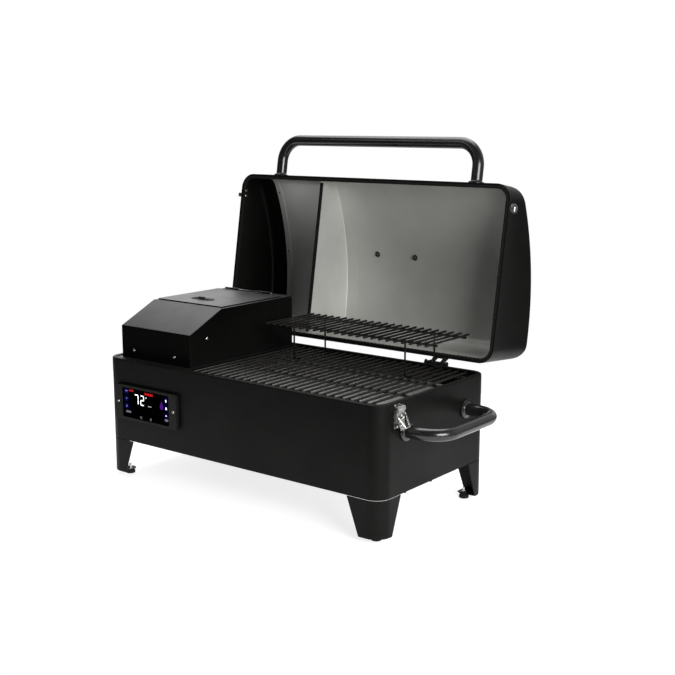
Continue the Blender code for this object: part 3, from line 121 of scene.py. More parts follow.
def tinted(tree, factor, one, two, start=0.35, end=0.65):
    """A colour that runs from one to two as the factor goes from start to end."""
    made = tree.nodes.new("ShaderNodeMix")
    made.data_type = "RGBA"
    made.inputs["A"].default_value = (*one, 1)
    made.inputs["B"].default_value = (*two, 1)
    tree.links.new(between(tree, factor, 0, 1, start, end), made.inputs["Factor"])
    return made.outputs["Result"]


def bumped(tree, shader, heights, distance):
    """Bump from one or more (height, strength) pairs, one after another."""
    normal = None
    for height, strength in heights:
        made = node(tree, "ShaderNodeBump", Strength=strength, Distance=distance)
        tree.links.new(height, made.inputs["Height"])
        if normal is not None:
            tree.links.new(normal, made.inputs["Normal"])
        normal = made.outputs["Normal"]
    tree.links.new(normal, shader.inputs["Normal"])


def painted_edge_highlight(tree, colour, edge, start=0.52, end=0.6):
    """The colour, paler where the surface turns sharply outwards: a painted highlight where rounded
    sheet-metal edges catch the light.
    """
    shape = tree.nodes.new("ShaderNodeNewGeometry")
    made = tree.nodes.new("ShaderNodeMix")
    made.data_type = "RGBA"
    tree.links.new(between(tree, shape.outputs["Pointiness"], 0, 1, start, end), made.inputs["Factor"])
    tree.links.new(colour, made.inputs["A"])
    made.inputs["B"].default_value = (*edge, 1)
    return made.outputs["Result"]


def coated(name, dark, pale, rough, grain=900, relief=0.12, edge=None, shine=0.5, top_shine=None):
    """Painted or powder-coated metal: fine grain, faint smudges, and edges made paler as a painted highlight.
    With top_shine, faces that look up get a higher specular level, which stands in for a studio light over
    the part."""
    made, tree, shader = new_material(name, dark, rough[0])
    shader.inputs["Specular IOR Level"].default_value = shine
    if top_shine is not None:
        facing = tree.nodes.new("ShaderNodeSeparateXYZ")
        tree.links.new(tree.nodes.new("ShaderNodeNewGeometry").outputs["True Normal"],
                       facing.inputs["Vector"])
        tree.links.new(between(tree, facing.outputs["Z"], shine, top_shine, 0.7, 1.0),
                       shader.inputs["Specular IOR Level"])
    smudge = noise(tree, 9, 4)
    colour = tinted(tree, noise(tree, 22, 5), dark, pale)
    # With edge given, the colour is paler on sharp outward edges: a painted highlight.
    if edge is not None:
        colour = painted_edge_highlight(tree, colour, edge)
    tree.links.new(colour, shader.inputs["Base Color"])
    tree.links.new(between(tree, smudge, *rough), shader.inputs["Roughness"])
    bumped(tree, shader, [(noise(tree, grain, 2), relief), (noise(tree, 40, 2), relief / 4)], 0.4 * MM)
    return made


def sheet_steel(name, dark, pale, rough, stretch, relief=0.05, metallic=1.0):
    """Bare sheet: rolling lines one way, with cloudy patches."""
    made, tree, shader = new_material(name, pale, rough[0], metallic)
    lines = noise(tree, 60, 6, stretch)
    colour = tinted(tree, noise(tree, 7, 5), dark, pale, 0.3, 0.7)
    tree.links.new(colour, shader.inputs["Base Color"])
    tree.links.new(between(tree, lines, *rough), shader.inputs["Roughness"])
    bumped(tree, shader, [(lines, relief)], 0.2 * MM)
    return made


def woven(name, colour, pale):
    """Braided glass-fibre rope: two crossing sets of strands."""
    made, tree, shader = new_material(name, colour, 0.9)
    place = tree.nodes.new("ShaderNodeTexCoord")
    strands = []
    for angle in (45, -45):
        turn = tree.nodes.new("ShaderNodeMapping")
        turn.inputs["Rotation"].default_value = (math.radians(angle), math.radians(angle),
                                                 math.radians(angle))
        wave = node(tree, "ShaderNodeTexWave", Scale=150, Distortion=1.0)
        tree.links.new(place.outputs["Object"], turn.inputs["Vector"])
        tree.links.new(turn.outputs["Vector"], wave.inputs["Vector"])
        strands.append((wave.outputs["Fac"], 0.6))
    tree.links.new(tinted(tree, strands[0][0], colour, pale, 0.2, 0.9), shader.inputs["Base Color"])
    bumped(tree, shader, strands, 0.5 * MM)
    shader.inputs["Specular IOR Level"].default_value = 0.15
    return made


def glowing(name, colour, strength):
    """A lit mark on the display, with a faint grain of dots."""
    made, tree, shader = new_material(name, (0.001, 0.001, 0.001), 0.4)
    shader.inputs["Specular IOR Level"].default_value = 0
    shader.inputs["Emission Strength"].default_value = strength
    dim = tuple(c * 0.75 for c in colour)
    tree.links.new(tinted(tree, noise(tree, 260, 2), dim, colour, 0.3, 0.6), shader.inputs["Emission Color"])
    return made


# The edge colours below are painted highlights on sharp outward edges.
BLACK = coated("powder_coat_black", (0.0022, 0.0022, 0.002), (0.0034, 0.0034, 0.003), (0.4, 0.5),
               edge=(0.008, 0.008, 0.0077), shine=0.1)
# The hopper cover's finish is a darker, less shiny copy of the black powder coat: painted shade on the
# hopper's faces. Its top_shine stands in for a studio light over its upward faces.
COVER = coated("powder_coat_cover", (0.0014, 0.0014, 0.0013), (0.0022, 0.0022, 0.002), (0.4, 0.5),
               edge=(0.006, 0.006, 0.0057), shine=0.02, top_shine=1.0)
TUBE = coated("tube_satin_black", (0.008, 0.0082, 0.0088), (0.012, 0.0122, 0.013), (0.2, 0.27), 1400, 0.03,
              shine=0.6)
ENAMEL = coated("grate_enamel_black", (0.003, 0.0028, 0.0024), (0.006, 0.0055, 0.0048), (0.2, 0.34), 500, 0.2,
                edge=(0.02, 0.019, 0.0175), shine=0.32)
RACK_ENAMEL = coated("rack_enamel_black", (0.002, 0.0018, 0.0015), (0.005, 0.0046, 0.004), (0.2, 0.34),
                     500, 0.2, edge=(0.02, 0.019, 0.0175), shine=0.05)
PLASTIC = coated("moulded_black", (0.0055, 0.0055, 0.005), (0.008, 0.008, 0.0074), (0.45, 0.55), 1600, 0.2,
                 shine=0.14)
RUBBER = coated("rubber_black", (0.008, 0.008, 0.008), (0.014, 0.014, 0.014), (0.7, 0.85), 700, 0.3,
                shine=0.2)
CASING = coated("casing_grey", (0.16, 0.16, 0.16), (0.22, 0.22, 0.22), (0.4, 0.55))
BOARD = coated("board_green", (0.01, 0.07, 0.025), (0.015, 0.1, 0.035), (0.3, 0.45), 500, 0.3)
GLASS = coated("glass_black", (0.0004, 0.0004, 0.0005), (0.0007, 0.0007, 0.0008), (0.05, 0.08), 300, 0.004,
               shine=0)
LINER = sheet_steel("galvanised_sheet", (0.48, 0.482, 0.46), (0.58, 0.582, 0.556), (0.42, 0.54), (30, 1, 1),
                    0.03, 0.55)
STEEL = sheet_steel("stainless_bright", (0.6, 0.59, 0.57), (0.74, 0.73, 0.7), (0.16, 0.32), (1, 1, 25))
GASKET = woven("gasket_rope", (0.004, 0.004, 0.0036), (0.012, 0.012, 0.011))
LIT_WHITE = glowing("display_white", (0.95, 0.97, 1.0), 2.2)
LIT_GREY = glowing("display_grey", (0.55, 0.56, 0.6), 0.75)
LIT_DIM = glowing("display_dim", (0.3, 0.3, 0.36), 0.6)
LIT_RED = glowing("display_red", (0.8, 0.015, 0.02), 0.8)
LIT_BLUE = glowing("display_blue", (0.004, 0.003, 0.085), 0.9)
LIT_PALE = glowing("display_pale_blue", (0.35, 0.38, 0.85), 0.9)
LIT_VIOLET = glowing("display_violet", (0.1, 0.01, 0.3), 0.8)


# ---------------------------------------------------------------- pieces

CREASE = math.radians(35)


def piece(name, mesh, finish, body, place=STAND, replaces=(), weighted=True):
    """A finished piece: taken to its place, shaded, and riding on its body."""
    mesh.name = name
    mesh.transform(place)
    made = bpy.data.objects.new(name, mesh)
    bpy.context.scene.collection.objects.link(made)
    mesh.materials.clear()
    mesh.materials.append(finish)
    mesh.shade_smooth()
    mesh.set_sharp_from_angle(angle=CREASE)
    if weighted:
        even = made.modifiers.new("Even normals", "WEIGHTED_NORMAL")
        even.keep_sharp = True
    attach(made, body)
    if replaces:
        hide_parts(*replaces)
    return made


def mesh_from(build, *values):
    """A mesh from a function that fills a bmesh."""
    bm = bmesh.new()
    build(bm, *values)
    bmesh.ops.recalc_face_normals(bm, faces=bm.faces)
    mesh = bpy.data.meshes.new("shape")
    bm.to_mesh(mesh)
    bm.free()
    return mesh


def joined(*meshes):
    """One mesh of several separate solids."""
    bm = bmesh.new()
    for mesh in meshes:
        bm.from_mesh(mesh)
    made = bpy.data.meshes.new("joined")
    bm.to_mesh(made)
    bm.free()
    return made


def evaluated(obj):
    """An object's mesh with its modifiers applied. The object is removed."""
    bpy.context.view_layer.update()
    mesh = bpy.data.meshes.new_from_object(obj.evaluated_get(bpy.context.evaluated_depsgraph_get()))
    mesh.transform(obj.matrix_world)
    bpy.data.objects.remove(obj, do_unlink=True)
    return mesh


def loose(data):
    made = bpy.data.objects.new("loose", data)
    bpy.context.scene.collection.objects.link(made)
    return made


def cut(mesh, *others):
    """The mesh with the others cut out of it."""
    obj = loose(mesh)
    helpers = [loose(other) for other in others]
    for helper in helpers:
        change = obj.modifiers.new("Change", "BOOLEAN")
        change.operation = "DIFFERENCE"
        change.object = helper
        change.solver = "EXACT"
    made = evaluated(obj)
    for helper in helpers:
        bpy.data.objects.remove(helper, do_unlink=True)
    return made


def thickened(mesh, thickness):
    """An open surface made into a sheet, towards the inside of its faces."""
    obj = loose(mesh)
    change = obj.modifiers.new("Sheet", "SOLIDIFY")
    change.thickness = thickness
    change.offset = -1
    change.use_even_offset = True
    return evaluated(obj)


def softened(mesh, width, segments=2, angle=30):
    """The mesh with its sharp edges rounded."""
    bm = bmesh.new()
    bm.from_mesh(mesh)
    bmesh.ops.remove_doubles(bm, verts=bm.verts, dist=0.01 * MM)
    bmesh.ops.dissolve_limit(bm, angle_limit=math.radians(0.5), verts=bm.verts, edges=bm.edges)
    sharp = [e for e in bm.edges if len(e.link_faces) == 2 and e.calc_face_angle() > math.radians(angle)]
    bmesh.ops.bevel(bm, geom=sharp, offset=width, segments=segments, profile=0.5, affect="EDGES",
                    clamp_overlap=True)
    bm.to_mesh(mesh)
    bm.free()
    return mesh


# ---------------------------------------------------------------- outlines and solids

def arc(centre, radius, start, end, steps):
    """Points of an arc, its angles in degrees."""
    angles = [math.radians(start + (end - start) * step / steps) for step in range(steps + 1)]
    return [(centre[0] + radius * math.cos(a), centre[1] + radius * math.sin(a)) for a in angles]


def rounded_rectangle(x0, y0, x1, y1, radius, steps=6):
    """Outline of a rectangle with round corners, counter-clockwise."""
    points = []
    for quarter, centre in enumerate(((x1 - radius, y1 - radius), (x0 + radius, y1 - radius),
                                      (x0 + radius, y0 + radius), (x1 - radius, y0 + radius))):
        points += arc(centre, radius, 90 * quarter, 90 * quarter + 90, steps)
    return points


def fill_box(bm, low, high):
    low, high = Vector(low), Vector(high)
    place = Matrix.Translation((low + high) / 2) @ Matrix.Diagonal((*(high - low), 1))
    bmesh.ops.create_cube(bm, size=1, matrix=place)


def box(low, high, soft=0.0):
    mesh = mesh_from(fill_box, low, high)
    return softened(mesh, soft) if soft else mesh


def skin(bm, rings, wrap=False, closed=True):
    """Quads between rings of points. Wrapped, the last ring meets the first; closed, each ring is a loop."""
    rows = [[bm.verts.new(p) for p in ring] for ring in rings]
    pairs = list(zip(rows, rows[1:] + rows[:1])) if wrap else list(zip(rows, rows[1:]))
    for one, two in pairs:
        count = len(one)
        for a in range(count if closed else count - 1):
            b = (a + 1) % count
            bm.faces.new((one[a], one[b], two[b], two[a]))
    return rows


def skin_capped(bm, rings):
    """Quads between closed rings, with the first and the last ring filled in."""
    rows = skin(bm, rings)
    bm.faces.new(rows[0][::-1])
    bm.faces.new(rows[-1])


def radians(*degrees):
    return [math.radians(angle) for angle in degrees]


def lathe(profile, start, end, sides=48):
    """A turned solid: (along, radius) points from start towards end. Both ends are capped."""
    start, end = Vector(start), Vector(end)
    turn = (end - start).to_track_quat("Z", "Y").to_matrix()
    rings = []
    for along, radius in profile:
        ring = []
        for step in range(sides):
            angle = 2 * math.pi * step / sides
            ring.append(start + turn @ Vector((radius * math.cos(angle), radius * math.sin(angle), along)))
        rings.append(ring)
    return mesh_from(skin_capped, rings)


def disc(start, end, radius, soft, sides=48):
    """A round plate or pin with its rims rounded."""
    length = (Vector(end) - Vector(start)).length
    rim = [(soft - soft * math.cos(a), radius - soft + soft * math.sin(a)) for a in radians(0, 30, 60, 90)]
    back = [(length - along, r) for along, r in reversed(rim)]
    return lathe(rim + back, start, end, sides)


PLANES = {
    "XY": Matrix.Identity(4),
    "XZ": Matrix(((1, 0, 0, 0), (0, 0, -1, 0), (0, 1, 0, 0), (0, 0, 0, 1))),
    "YZ": Matrix(((0, 0, 1, 0), (1, 0, 0, 0), (0, 1, 0, 0), (0, 0, 0, 1))),
}


def prism(plane, low, high, *outlines, soft=0.0, segments=2):
    """A flat outline, with any holes, thickened from low to high along the axis that its plane lacks."""
    curve = bpy.data.curves.new("outline", "CURVE")
    curve.dimensions = "2D"
    curve.fill_mode = "BOTH"
    curve.extrude = (high - low) / 2
    for outline in outlines:
        spline = curve.splines.new("POLY")
        spline.points.add(len(outline) - 1)
        for point, (u, v) in zip(spline.points, outline):
            point.co = (u, v, 0, 1)
        spline.use_cyclic_u = True
    middle = (low + high) / 2
    obj = loose(curve)
    obj.matrix_world = Matrix.Translation({"XY": (0, 0, middle), "XZ": (0, middle, 0),
                                           "YZ": (middle, 0, 0)}[plane]) @ PLANES[plane]
    mesh = evaluated(obj)
    bm = bmesh.new()
    bm.from_mesh(mesh)
    bmesh.ops.remove_doubles(bm, verts=bm.verts, dist=0.005 * MM)
    bmesh.ops.recalc_face_normals(bm, faces=bm.faces)
    bm.to_mesh(mesh)
    bm.free()
    return softened(mesh, soft, segments, 50) if soft else mesh


def filleted(corners, radius, steps=12):
    """A path through corners, with each inner corner rounded by an arc."""
    points = [Vector(corners[0])]
    for before, corner, after in zip(corners, corners[1:], corners[2:]):
        corner = Vector(corner)
        one, two = (Vector(before) - corner).normalized(), (Vector(after) - corner).normalized()
        half = one.angle(two) / 2
        reach = radius / math.tan(half)
        centre = corner + (one + two).normalized() * radius / math.sin(half)
        start, end = corner + one * reach - centre, corner + two * reach - centre
        turn = start.angle(end)
        for step in range(steps + 1):
            share = step / steps
            points.append(centre + (start * math.sin((1 - share) * turn) + end * math.sin(share * turn))
                          / math.sin(turn))
    points.append(Vector(corners[-1]))
    return points


def tube(path, radius, sides=32, round_ends=0.0):
    """A tube along a path. With round_ends its ends are rounded off over that length."""
    path = [Vector(p) for p in path]
    widths = [radius] * len(path)
    if round_ends:
        for end, beside in ((0, 1), (-1, -2)):
            along = (path[beside] - path[end]).normalized()
            tip = path[end]
            inner = [(tip + along * round_ends * (1 - math.cos(a)), radius * math.sin(a))
                     for a in radians(12, 35, 60, 90)]
            if end == 0:
                path = [p for p, _ in inner] + path[1:]
                widths = [w for _, w in inner] + widths[1:]
            else:
                path = path[:-1] + [p for p, _ in reversed(inner)]
                widths = widths[:-1] + [w for _, w in reversed(inner)]
    tangents = []
    for number in range(len(path)):
        before, after = path[max(number - 1, 0)], path[min(number + 1, len(path) - 1)]
        tangents.append((after - before).normalized())
    side = tangents[0].orthogonal().normalized()
    rings = []
    for place, along, width in zip(path, tangents, widths):
        side = (side - along * side.dot(along)).normalized()
        other = along.cross(side)
        rings.append([place + (side * math.cos(a) + other * math.sin(a)) * width
                      for a in (2 * math.pi * step / sides for step in range(sides))])
    return mesh_from(skin_capped, rings)


def mirrored(mesh, sign=-1):
    """The mesh, or for a sign below zero its mirror image on the left side."""
    if sign > 0:
        return mesh
    copy = mesh.copy()
    copy.transform(Matrix.Diagonal((-1, 1, 1, 1)))
    copy.flip_normals()
    return copy


def screw_head(at, out, radius=3.2 * MM, drive=True):
    """A domed head on a surface that faces out: a screw with a round recess, or a rivet without a drive."""
    at, out = Vector(at), Vector(out).normalized()
    dome = [(0, radius)] + [(radius * 0.15 + radius * 0.5 * math.sin(a), radius * math.cos(a))
                            for a in radians(0, 18, 36, 54)]
    if drive:
        top = dome[-1][0]
        dome += [(top, radius * 0.5), (top - radius * 0.4, radius * 0.46)]
    return lathe(dome, at, at + out, 18)


SIDES = (("left", -1), ("right", 1))


# ---------------------------------------------------------------- tub

CORNER = 34 * MM
SHEET = 1.8 * MM
RIM_BEND = 3 * MM
FLOOR_BEND = 2.5 * MM
LIP = 12 * MM


def tub_profile():
    """The wall's section as (distance in from the outside, height): up the outside, over the rim and down."""
    nose = SHEET / 2
    return (arc((FLOOR_BEND, FLOOR_BEND), FLOOR_BEND, 270, 180, 4)
            + arc((RIM_BEND, HEIGHT - RIM_BEND), RIM_BEND, 180, 90, 6)
            + arc((LIP - nose, HEIGHT - nose), nose, 90, -90, 4)
            + arc((RIM_BEND, HEIGHT - RIM_BEND), RIM_BEND - SHEET, 90, 180, 4)
            + arc((FLOOR_BEND, FLOOR_BEND), FLOOR_BEND - SHEET, 180, 270, 3))


def fill_tub(bm):
    rings = []
    for inset, height in tub_profile():
        outline = rounded_rectangle(inset - SIDE_X, inset, SIDE_X - inset, DEPTH - inset, CORNER - inset, 12)
        rings.append([(x, y, height) for x, y in outline])
    skin_capped(bm, rings)


VENT_Z = 121 * MM
VENT_LENGTH = 34 * MM
SLOT_WIDTH = 6 * MM
SLOT_ROUND = 2.9 * MM
THROUGH_WALL = 6 * MM
THROUGH_FLOOR = 5 * MM
VENT_STARTS = [x * MM for x in (-60, 0, 60, 120, 180)]
INTAKE_STARTS = [x * MM for x in (-240, -225, -210, -195)]
INTAKE_FRONT, INTAKE_BACK = 232 * MM, 292 * MM
SPOUT_X, SPOUT_Y = 180 * MM, 328 * MM
SPOUT_RADIUS = 13 * MM
INLET_EDGE = 5 * MM
TAB_Y = (90 * MM, 180 * MM)


def make_tub():
    shell = mesh_from(fill_tub)
    cutters = []
    for x in VENT_STARTS:
        slot = rounded_rectangle(x, VENT_Z - SLOT_WIDTH / 2, x + VENT_LENGTH, VENT_Z + SLOT_WIDTH / 2,
                                 SLOT_ROUND)
        cutters.append(prism("XZ", DEPTH - THROUGH_WALL, DEPTH + THROUGH_WALL, slot))
    for x in INTAKE_STARTS:
        slot = rounded_rectangle(x, INTAKE_FRONT, x + SLOT_WIDTH, INTAKE_BACK, SLOT_ROUND)
        cutters.append(prism("XY", -THROUGH_FLOOR, THROUGH_FLOOR, slot))
    inlet_low, inlet_high = drawn_box("power_inlet")
    cutters.append(box((inlet_low.x + INLET_EDGE, DEPTH - THROUGH_WALL, inlet_low.z + INLET_EDGE),
                       (inlet_high.x - INLET_EDGE, DEPTH + THROUGH_WALL, inlet_high.z - INLET_EDGE)))
    cutters.append(disc((SPOUT_X, SPOUT_Y, -THROUGH_FLOOR), (SPOUT_X, SPOUT_Y, THROUGH_FLOOR), SPOUT_RADIUS,
                        0.1 * MM))
    shell = cut(shell, *cutters)
    piece("tub_shell", shell, BLACK, "tub", replaces=["body_shell"])
    x = SIDE_X - 7 * MM
    tabs = [disc((x, y, 0.2 * MM), (x, y, -3.4 * MM), 3.4 * MM, 0.8 * MM, 20) for y in TAB_Y]
    piece("underside_tabs", joined(*tabs), BLACK, "tub")


# ---------------------------------------------------------------- legs and feet

LEG_LOW, LEG_HIGH = drawn_box("leg_front_right")
LEG_TOP_Z, LEG_FOOT_Z = LEG_HIGH.z, LEG_LOW.z
LEG_FRONT = (LEG_HIGH.x - LEG_LOW.x, 52 * MM)
LEG_SIDE = (LEG_HIGH.y - LEG_LOW.y, 40 * MM)
LEG_SHEET = 2 * MM
FOOT_INSET = 32 * MM
FOOT_RADIUS = 10.5 * MM


def leg_line(front_reach, side_reach, z):
    """Points round the right front corner at one height, from the front wall to the side wall."""
    bend = [Vector((x, y, z)) for x, y in arc((SIDE_X - CORNER, CORNER), CORNER, -90, 0, 14)]
    return [Vector((SIDE_X - front_reach, 0, z)), *bend, Vector((SIDE_X, side_reach, z))]


def fill_leg(bm):
    levels = []
    for share in (0, 0.985, 1):
        front = LEG_FRONT[0] + (LEG_FRONT[1] - LEG_FRONT[0]) * share
        side = LEG_SIDE[0] + (LEG_SIDE[1] - LEG_SIDE[0]) * share
        levels.append(leg_line(front, side, LEG_TOP_Z + (LEG_FOOT_Z - LEG_TOP_Z) * share))
    skin(bm, levels, closed=False)


def leg_meshes():
    """The right front leg's parts: the folded wall with its foot plate, and the nut and bolt of the foot."""
    wall = thickened(mesh_from(fill_leg), LEG_SHEET)
    wall = softened(wall, 0.5 * MM, 2, 60)
    x, y = SIDE_X - FOOT_INSET, FOOT_INSET
    shelf = LEG_FOOT_Z + 0.2 * MM
    inner = [(px, py) for px, py in arc((SIDE_X - CORNER, CORNER), CORNER - LEG_SHEET * 0.9, -88, -2, 12)]
    outline = [(x - 14 * MM, LEG_SHEET * 0.9), *inner, (SIDE_X - LEG_SHEET * 0.9, y + 8 * MM),
               (x - 4 * MM, y + 12 * MM), (x - 14 * MM, y + 4 * MM)]
    plate = prism("XY", shelf, shelf + LEG_SHEET, outline, soft=0.4 * MM)
    bolt = [lathe([(0, 5.6 * MM), (4 * MM, 5.6 * MM)], (x, y, shelf + LEG_SHEET), (x, y, shelf + 9 * MM), 6),
            disc((x, y, shelf + LEG_SHEET), (x, y, shelf + 12 * MM), 2.6 * MM, 0.5 * MM, 16)]
    return wall, plate, joined(*bolt)


def foot_mesh(x, y):
    """A rubber foot with a waist and a rounded tread."""
    top, base = LEG_FOOT_Z - 0.3 * MM, -TUB_LOW.z
    r = FOOT_RADIUS
    tall = top - base
    profile = [(0, r * 0.86), (1.5 * MM, r * 0.86), (2.2 * MM, r * 0.8), (3.2 * MM, r * 0.8),
               (4.2 * MM, r * 0.93), (5.5 * MM, r), (tall - 1.4 * MM, r), (tall - 0.4 * MM, r * 0.96),
               (tall, r * 0.88)]
    return lathe(profile, (x, y, top), (x, y, base), 40)


def corner_copy(mesh, left, rear):
    """A mesh drawn for the right front corner, taken to another corner."""
    copy = mesh.copy()
    if rear:
        copy.transform(Matrix.Translation((0, DEPTH, 0)) @ Matrix.Diagonal((1, -1, 1, 1)))
        copy.flip_normals()
    return mirrored(copy) if left else copy


def make_legs():
    wall, plate, bolt = leg_meshes()
    for row, rear in (("front", False), ("rear", True)):
        for column, left in (("left", True), ("right", False)):
            where = f"{row}_{column}"
            leg = corner_copy(joined(wall, plate), left, rear)
            piece(f"leg_panel_{where}", leg, BLACK, "tub", replaces=[f"leg_{where}"])
            piece(f"foot_bolt_{where}", corner_copy(bolt, left, rear), STEEL, "tub")
            x = (SIDE_X - FOOT_INSET) * (-1 if left else 1)
            y = DEPTH - FOOT_INSET if rear else FOOT_INSET
            piece(f"rubber_foot_{where}", foot_mesh(x, y), RUBBER, "tub",
                  replaces=[f"foot_{where}"])


# ---------------------------------------------------------------- handles

TUBE_RADIUS = 12.7 * MM
SIDE_FLANGE, LID_FLANGE = 19.5 * MM, 17.5 * MM
SIDE_BEND, LID_BEND = 48 * MM, 50 * MM


def flange(at, out, radius):
    """A welded flange: a thin disc with a fillet of weld up to the tube."""
    weld = 3.2 * MM
    thick = 4 * MM
    bead = [(thick + weld - weld * math.cos(a), TUBE_RADIUS + weld - weld * math.sin(a))
            for a in radians(0, 25, 50, 75, 90)]
    profile = [(0, radius - 0.6 * MM), (0.6 * MM, radius), (thick - 1 * MM, radius),
               (thick - 0.3 * MM, radius - 0.4 * MM), (thick, radius - 1.1 * MM),
               *[(a, min(r, radius - 1.4 * MM)) for a, r in bead]]
    return lathe(profile, at, Vector(at) + Vector(out), 56)


def make_side_handles():
    low, high = drawn_box("handle_right")
    z = (low.z + high.z) / 2
    start, reach = low.x, high.x - TUBE_RADIUS
    front, back = low.y + SIDE_FLANGE, high.y - SIDE_FLANGE
    corners = [(start + MM, front, z), (reach, front, z), (reach, back, z), (start + MM, back, z)]
    grip = tube(filleted(corners, SIDE_BEND, 16), TUBE_RADIUS, 40)
    parts = [grip] + [flange((start, y, z), (1, 0, 0), SIDE_FLANGE) for y in (front, back)]
    for name, sign in SIDES:
        piece(f"carry_handle_{name}", mirrored(joined(*parts), sign), TUBE, "tub",
              replaces=[f"handle_{name}"], weighted=False)


def make_lid_handle():
    low, high = drawn_box("lid_handle", LID)
    x, z = high.x - LID_FLANGE, high.z - LID_FLANGE
    reach, wall = low.y + TUBE_RADIUS, high.y
    corners = [(-x, wall - MM, z), (-x, reach, z), (x, reach, z), (x, wall - MM, z)]
    grip = tube(filleted(corners, LID_BEND, 16), TUBE_RADIUS, 40)
    parts = [grip] + [flange((side * x, wall, z), (0, -1, 0), LID_FLANGE) for side in (-1, 1)]
    piece("lid_grip", joined(*parts), TUBE, "lid", LID, ["lid_handle"], weighted=False)


# ---------------------------------------------------------------- hopper

HOPPER_LEFT, HOPPER_RIGHT = -357.5 * MM, -142.4 * MM
HOPPER_FRONT, HOPPER_BACK = 28 * MM, 366.5 * MM
HOPPER_SLOPE_Y = 127.5 * MM
HOPPER_FRONT_Z, HOPPER_TOP_Z = 254.5 * MM, 300.5 * MM
HOPPER_SHEET = 1.5 * MM
DECK_Z = 181.5 * MM
DECK_SHEET = 1.8 * MM
DECK_RIGHT = -142.6 * MM


def hopper_outline(inset, base):
    """The hopper cover's side outline: upright front, sloped face, flat top, upright back."""
    run, rise = HOPPER_SLOPE_Y - HOPPER_FRONT, HOPPER_TOP_Z - HOPPER_FRONT_Z
    slant = math.hypot(run, rise)
    drop = inset * (slant - run) / rise
    ease = inset * (slant - rise) / run
    return [(HOPPER_FRONT + inset, base), (HOPPER_BACK - inset, base),
            (HOPPER_BACK - inset, HOPPER_TOP_Z - inset), (HOPPER_SLOPE_Y + drop, HOPPER_TOP_Z - inset),
            (HOPPER_FRONT + inset, HOPPER_FRONT_Z - ease)]


FLAP_LOW, FLAP_HIGH = drawn_box("hopper_lid")
PIN_LOW, PIN_HIGH = drawn_box("hopper_hinge_pin")
PIN_Y, PIN_Z = (PIN_LOW.y + PIN_HIGH.y) / 2, (PIN_LOW.z + PIN_HIGH.z) / 2
FLAP_KNUCKLES = ((-332 * MM, -311 * MM), (-227 * MM, -206 * MM))
HOPPER_MOUTH = (-342 * MM, 142 * MM, -158 * MM, 331 * MM)
FLAP_BACK = 336 * MM
FLAP_SHEET = 2.5 * MM
KNUCKLE_RADIUS = 3.4 * MM
KNUCKLE_LENGTH = 20 * MM
HOPPER_SCREW_X = (-318.5 * MM, -191 * MM)
HOPPER_SCREW_Z = 202 * MM
HOPPER_SIDE_SCREW_Y = (80 * MM, 338 * MM)
HOPPER_SIDE_SCREW_Z = 241 * MM


def knuckle(low, high):
    """A round part of the flap's hinge on its pin."""
    return disc((low, PIN_Y, PIN_Z), (high, PIN_Y, PIN_Z), KNUCKLE_RADIUS, 0.4 * MM, 24)


def make_hopper():
    base = DECK_Z + 1.9 * MM
    body = softened(prism("YZ", HOPPER_LEFT, HOPPER_RIGHT, hopper_outline(0, base - 6 * MM)), 2.2 * MM, 4)
    below = box((-0.5, -0.1, base - 0.1), (0, 0.5, base))
    body = cut(body, below)
    inside = prism("YZ", HOPPER_LEFT + HOPPER_SHEET, HOPPER_RIGHT - HOPPER_SHEET,
                   hopper_outline(HOPPER_SHEET, base - 12 * MM))
    mouth = prism("XY", 290 * MM, 310 * MM, rounded_rectangle(*HOPPER_MOUTH, 4 * MM, 5))
    body = cut(body, inside, mouth)
    knuckles = []
    for low, high in FLAP_KNUCKLES:
        low, high = high + 0.3 * MM, high + 0.3 * MM + KNUCKLE_LENGTH
        knuckles.append(knuckle(low, high))
        knuckles.append(box((low, PIN_Y - 3 * MM, HOPPER_TOP_Z - 0.5 * MM), (high, PIN_Y + 1.8 * MM, PIN_Z),
                            0.3 * MM))
    deck = prism("XY", DECK_Z, DECK_Z + DECK_SHEET, deck_outline(), soft=0.4 * MM)
    piece("hopper_cover", joined(body, deck, *knuckles), COVER, "tub",
          replaces=["hopper_housing"])
    sunk = 0.1 * MM
    heads = [screw_head((x, HOPPER_FRONT + sunk, HOPPER_SCREW_Z), (0, -1, 0)) for x in HOPPER_SCREW_X]
    for x, out in ((HOPPER_RIGHT - sunk, 1), (HOPPER_LEFT + sunk, -1)):
        heads += [screw_head((x, y, HOPPER_SIDE_SCREW_Z), (out, 0, 0)) for y in HOPPER_SIDE_SCREW_Y]
    heads += [screw_head((x, HOPPER_BACK - sunk, HOPPER_SCREW_Z), (0, 1, 0)) for x in HOPPER_SCREW_X]
    piece("hopper_screws", joined(*heads), STEEL, "tub")


def deck_outline():
    """The deck that closes the left bay, rounded to the tub's corners."""
    gap = SHEET + 0.5 * MM
    r = CORNER - gap
    x0, y0, y1 = gap - SIDE_X, gap, DEPTH - gap
    return [(DECK_RIGHT, y1), *arc((x0 + r, y1 - r), r, 90, 180, 10),
            *arc((x0 + r, y0 + r), r, 180, 270, 10), (DECK_RIGHT, y0)]


PULL_LOW, PULL_HIGH = drawn_box("hopper_lid_pull")


def make_hopper_flap():
    z = HOPPER_TOP_Z + 0.3 * MM
    outline = rounded_rectangle(FLAP_LOW.x, FLAP_LOW.y, FLAP_HIGH.x, FLAP_BACK, 5 * MM, 6)
    slot = rounded_rectangle(PULL_LOW.x + 6 * MM, PULL_LOW.y + 2 * MM, PULL_HIGH.x - 6 * MM,
                             PULL_LOW.y + 13 * MM, 5 * MM, 6)
    plate = prism("XY", z, z + FLAP_SHEET, outline, slot, soft=0.8 * MM, segments=3)
    knuckles = []
    for a, b in FLAP_KNUCKLES:
        knuckles.append(knuckle(a, b))
        knuckles.append(box((a, FLAP_BACK - 5 * MM, z + 1.6 * MM), (b, PIN_Y, z + 3.4 * MM), 0.5 * MM))
    piece("hopper_flap_plate", joined(plate, *knuckles), COVER, "hopper_flap",
          replaces=["hopper_lid"])


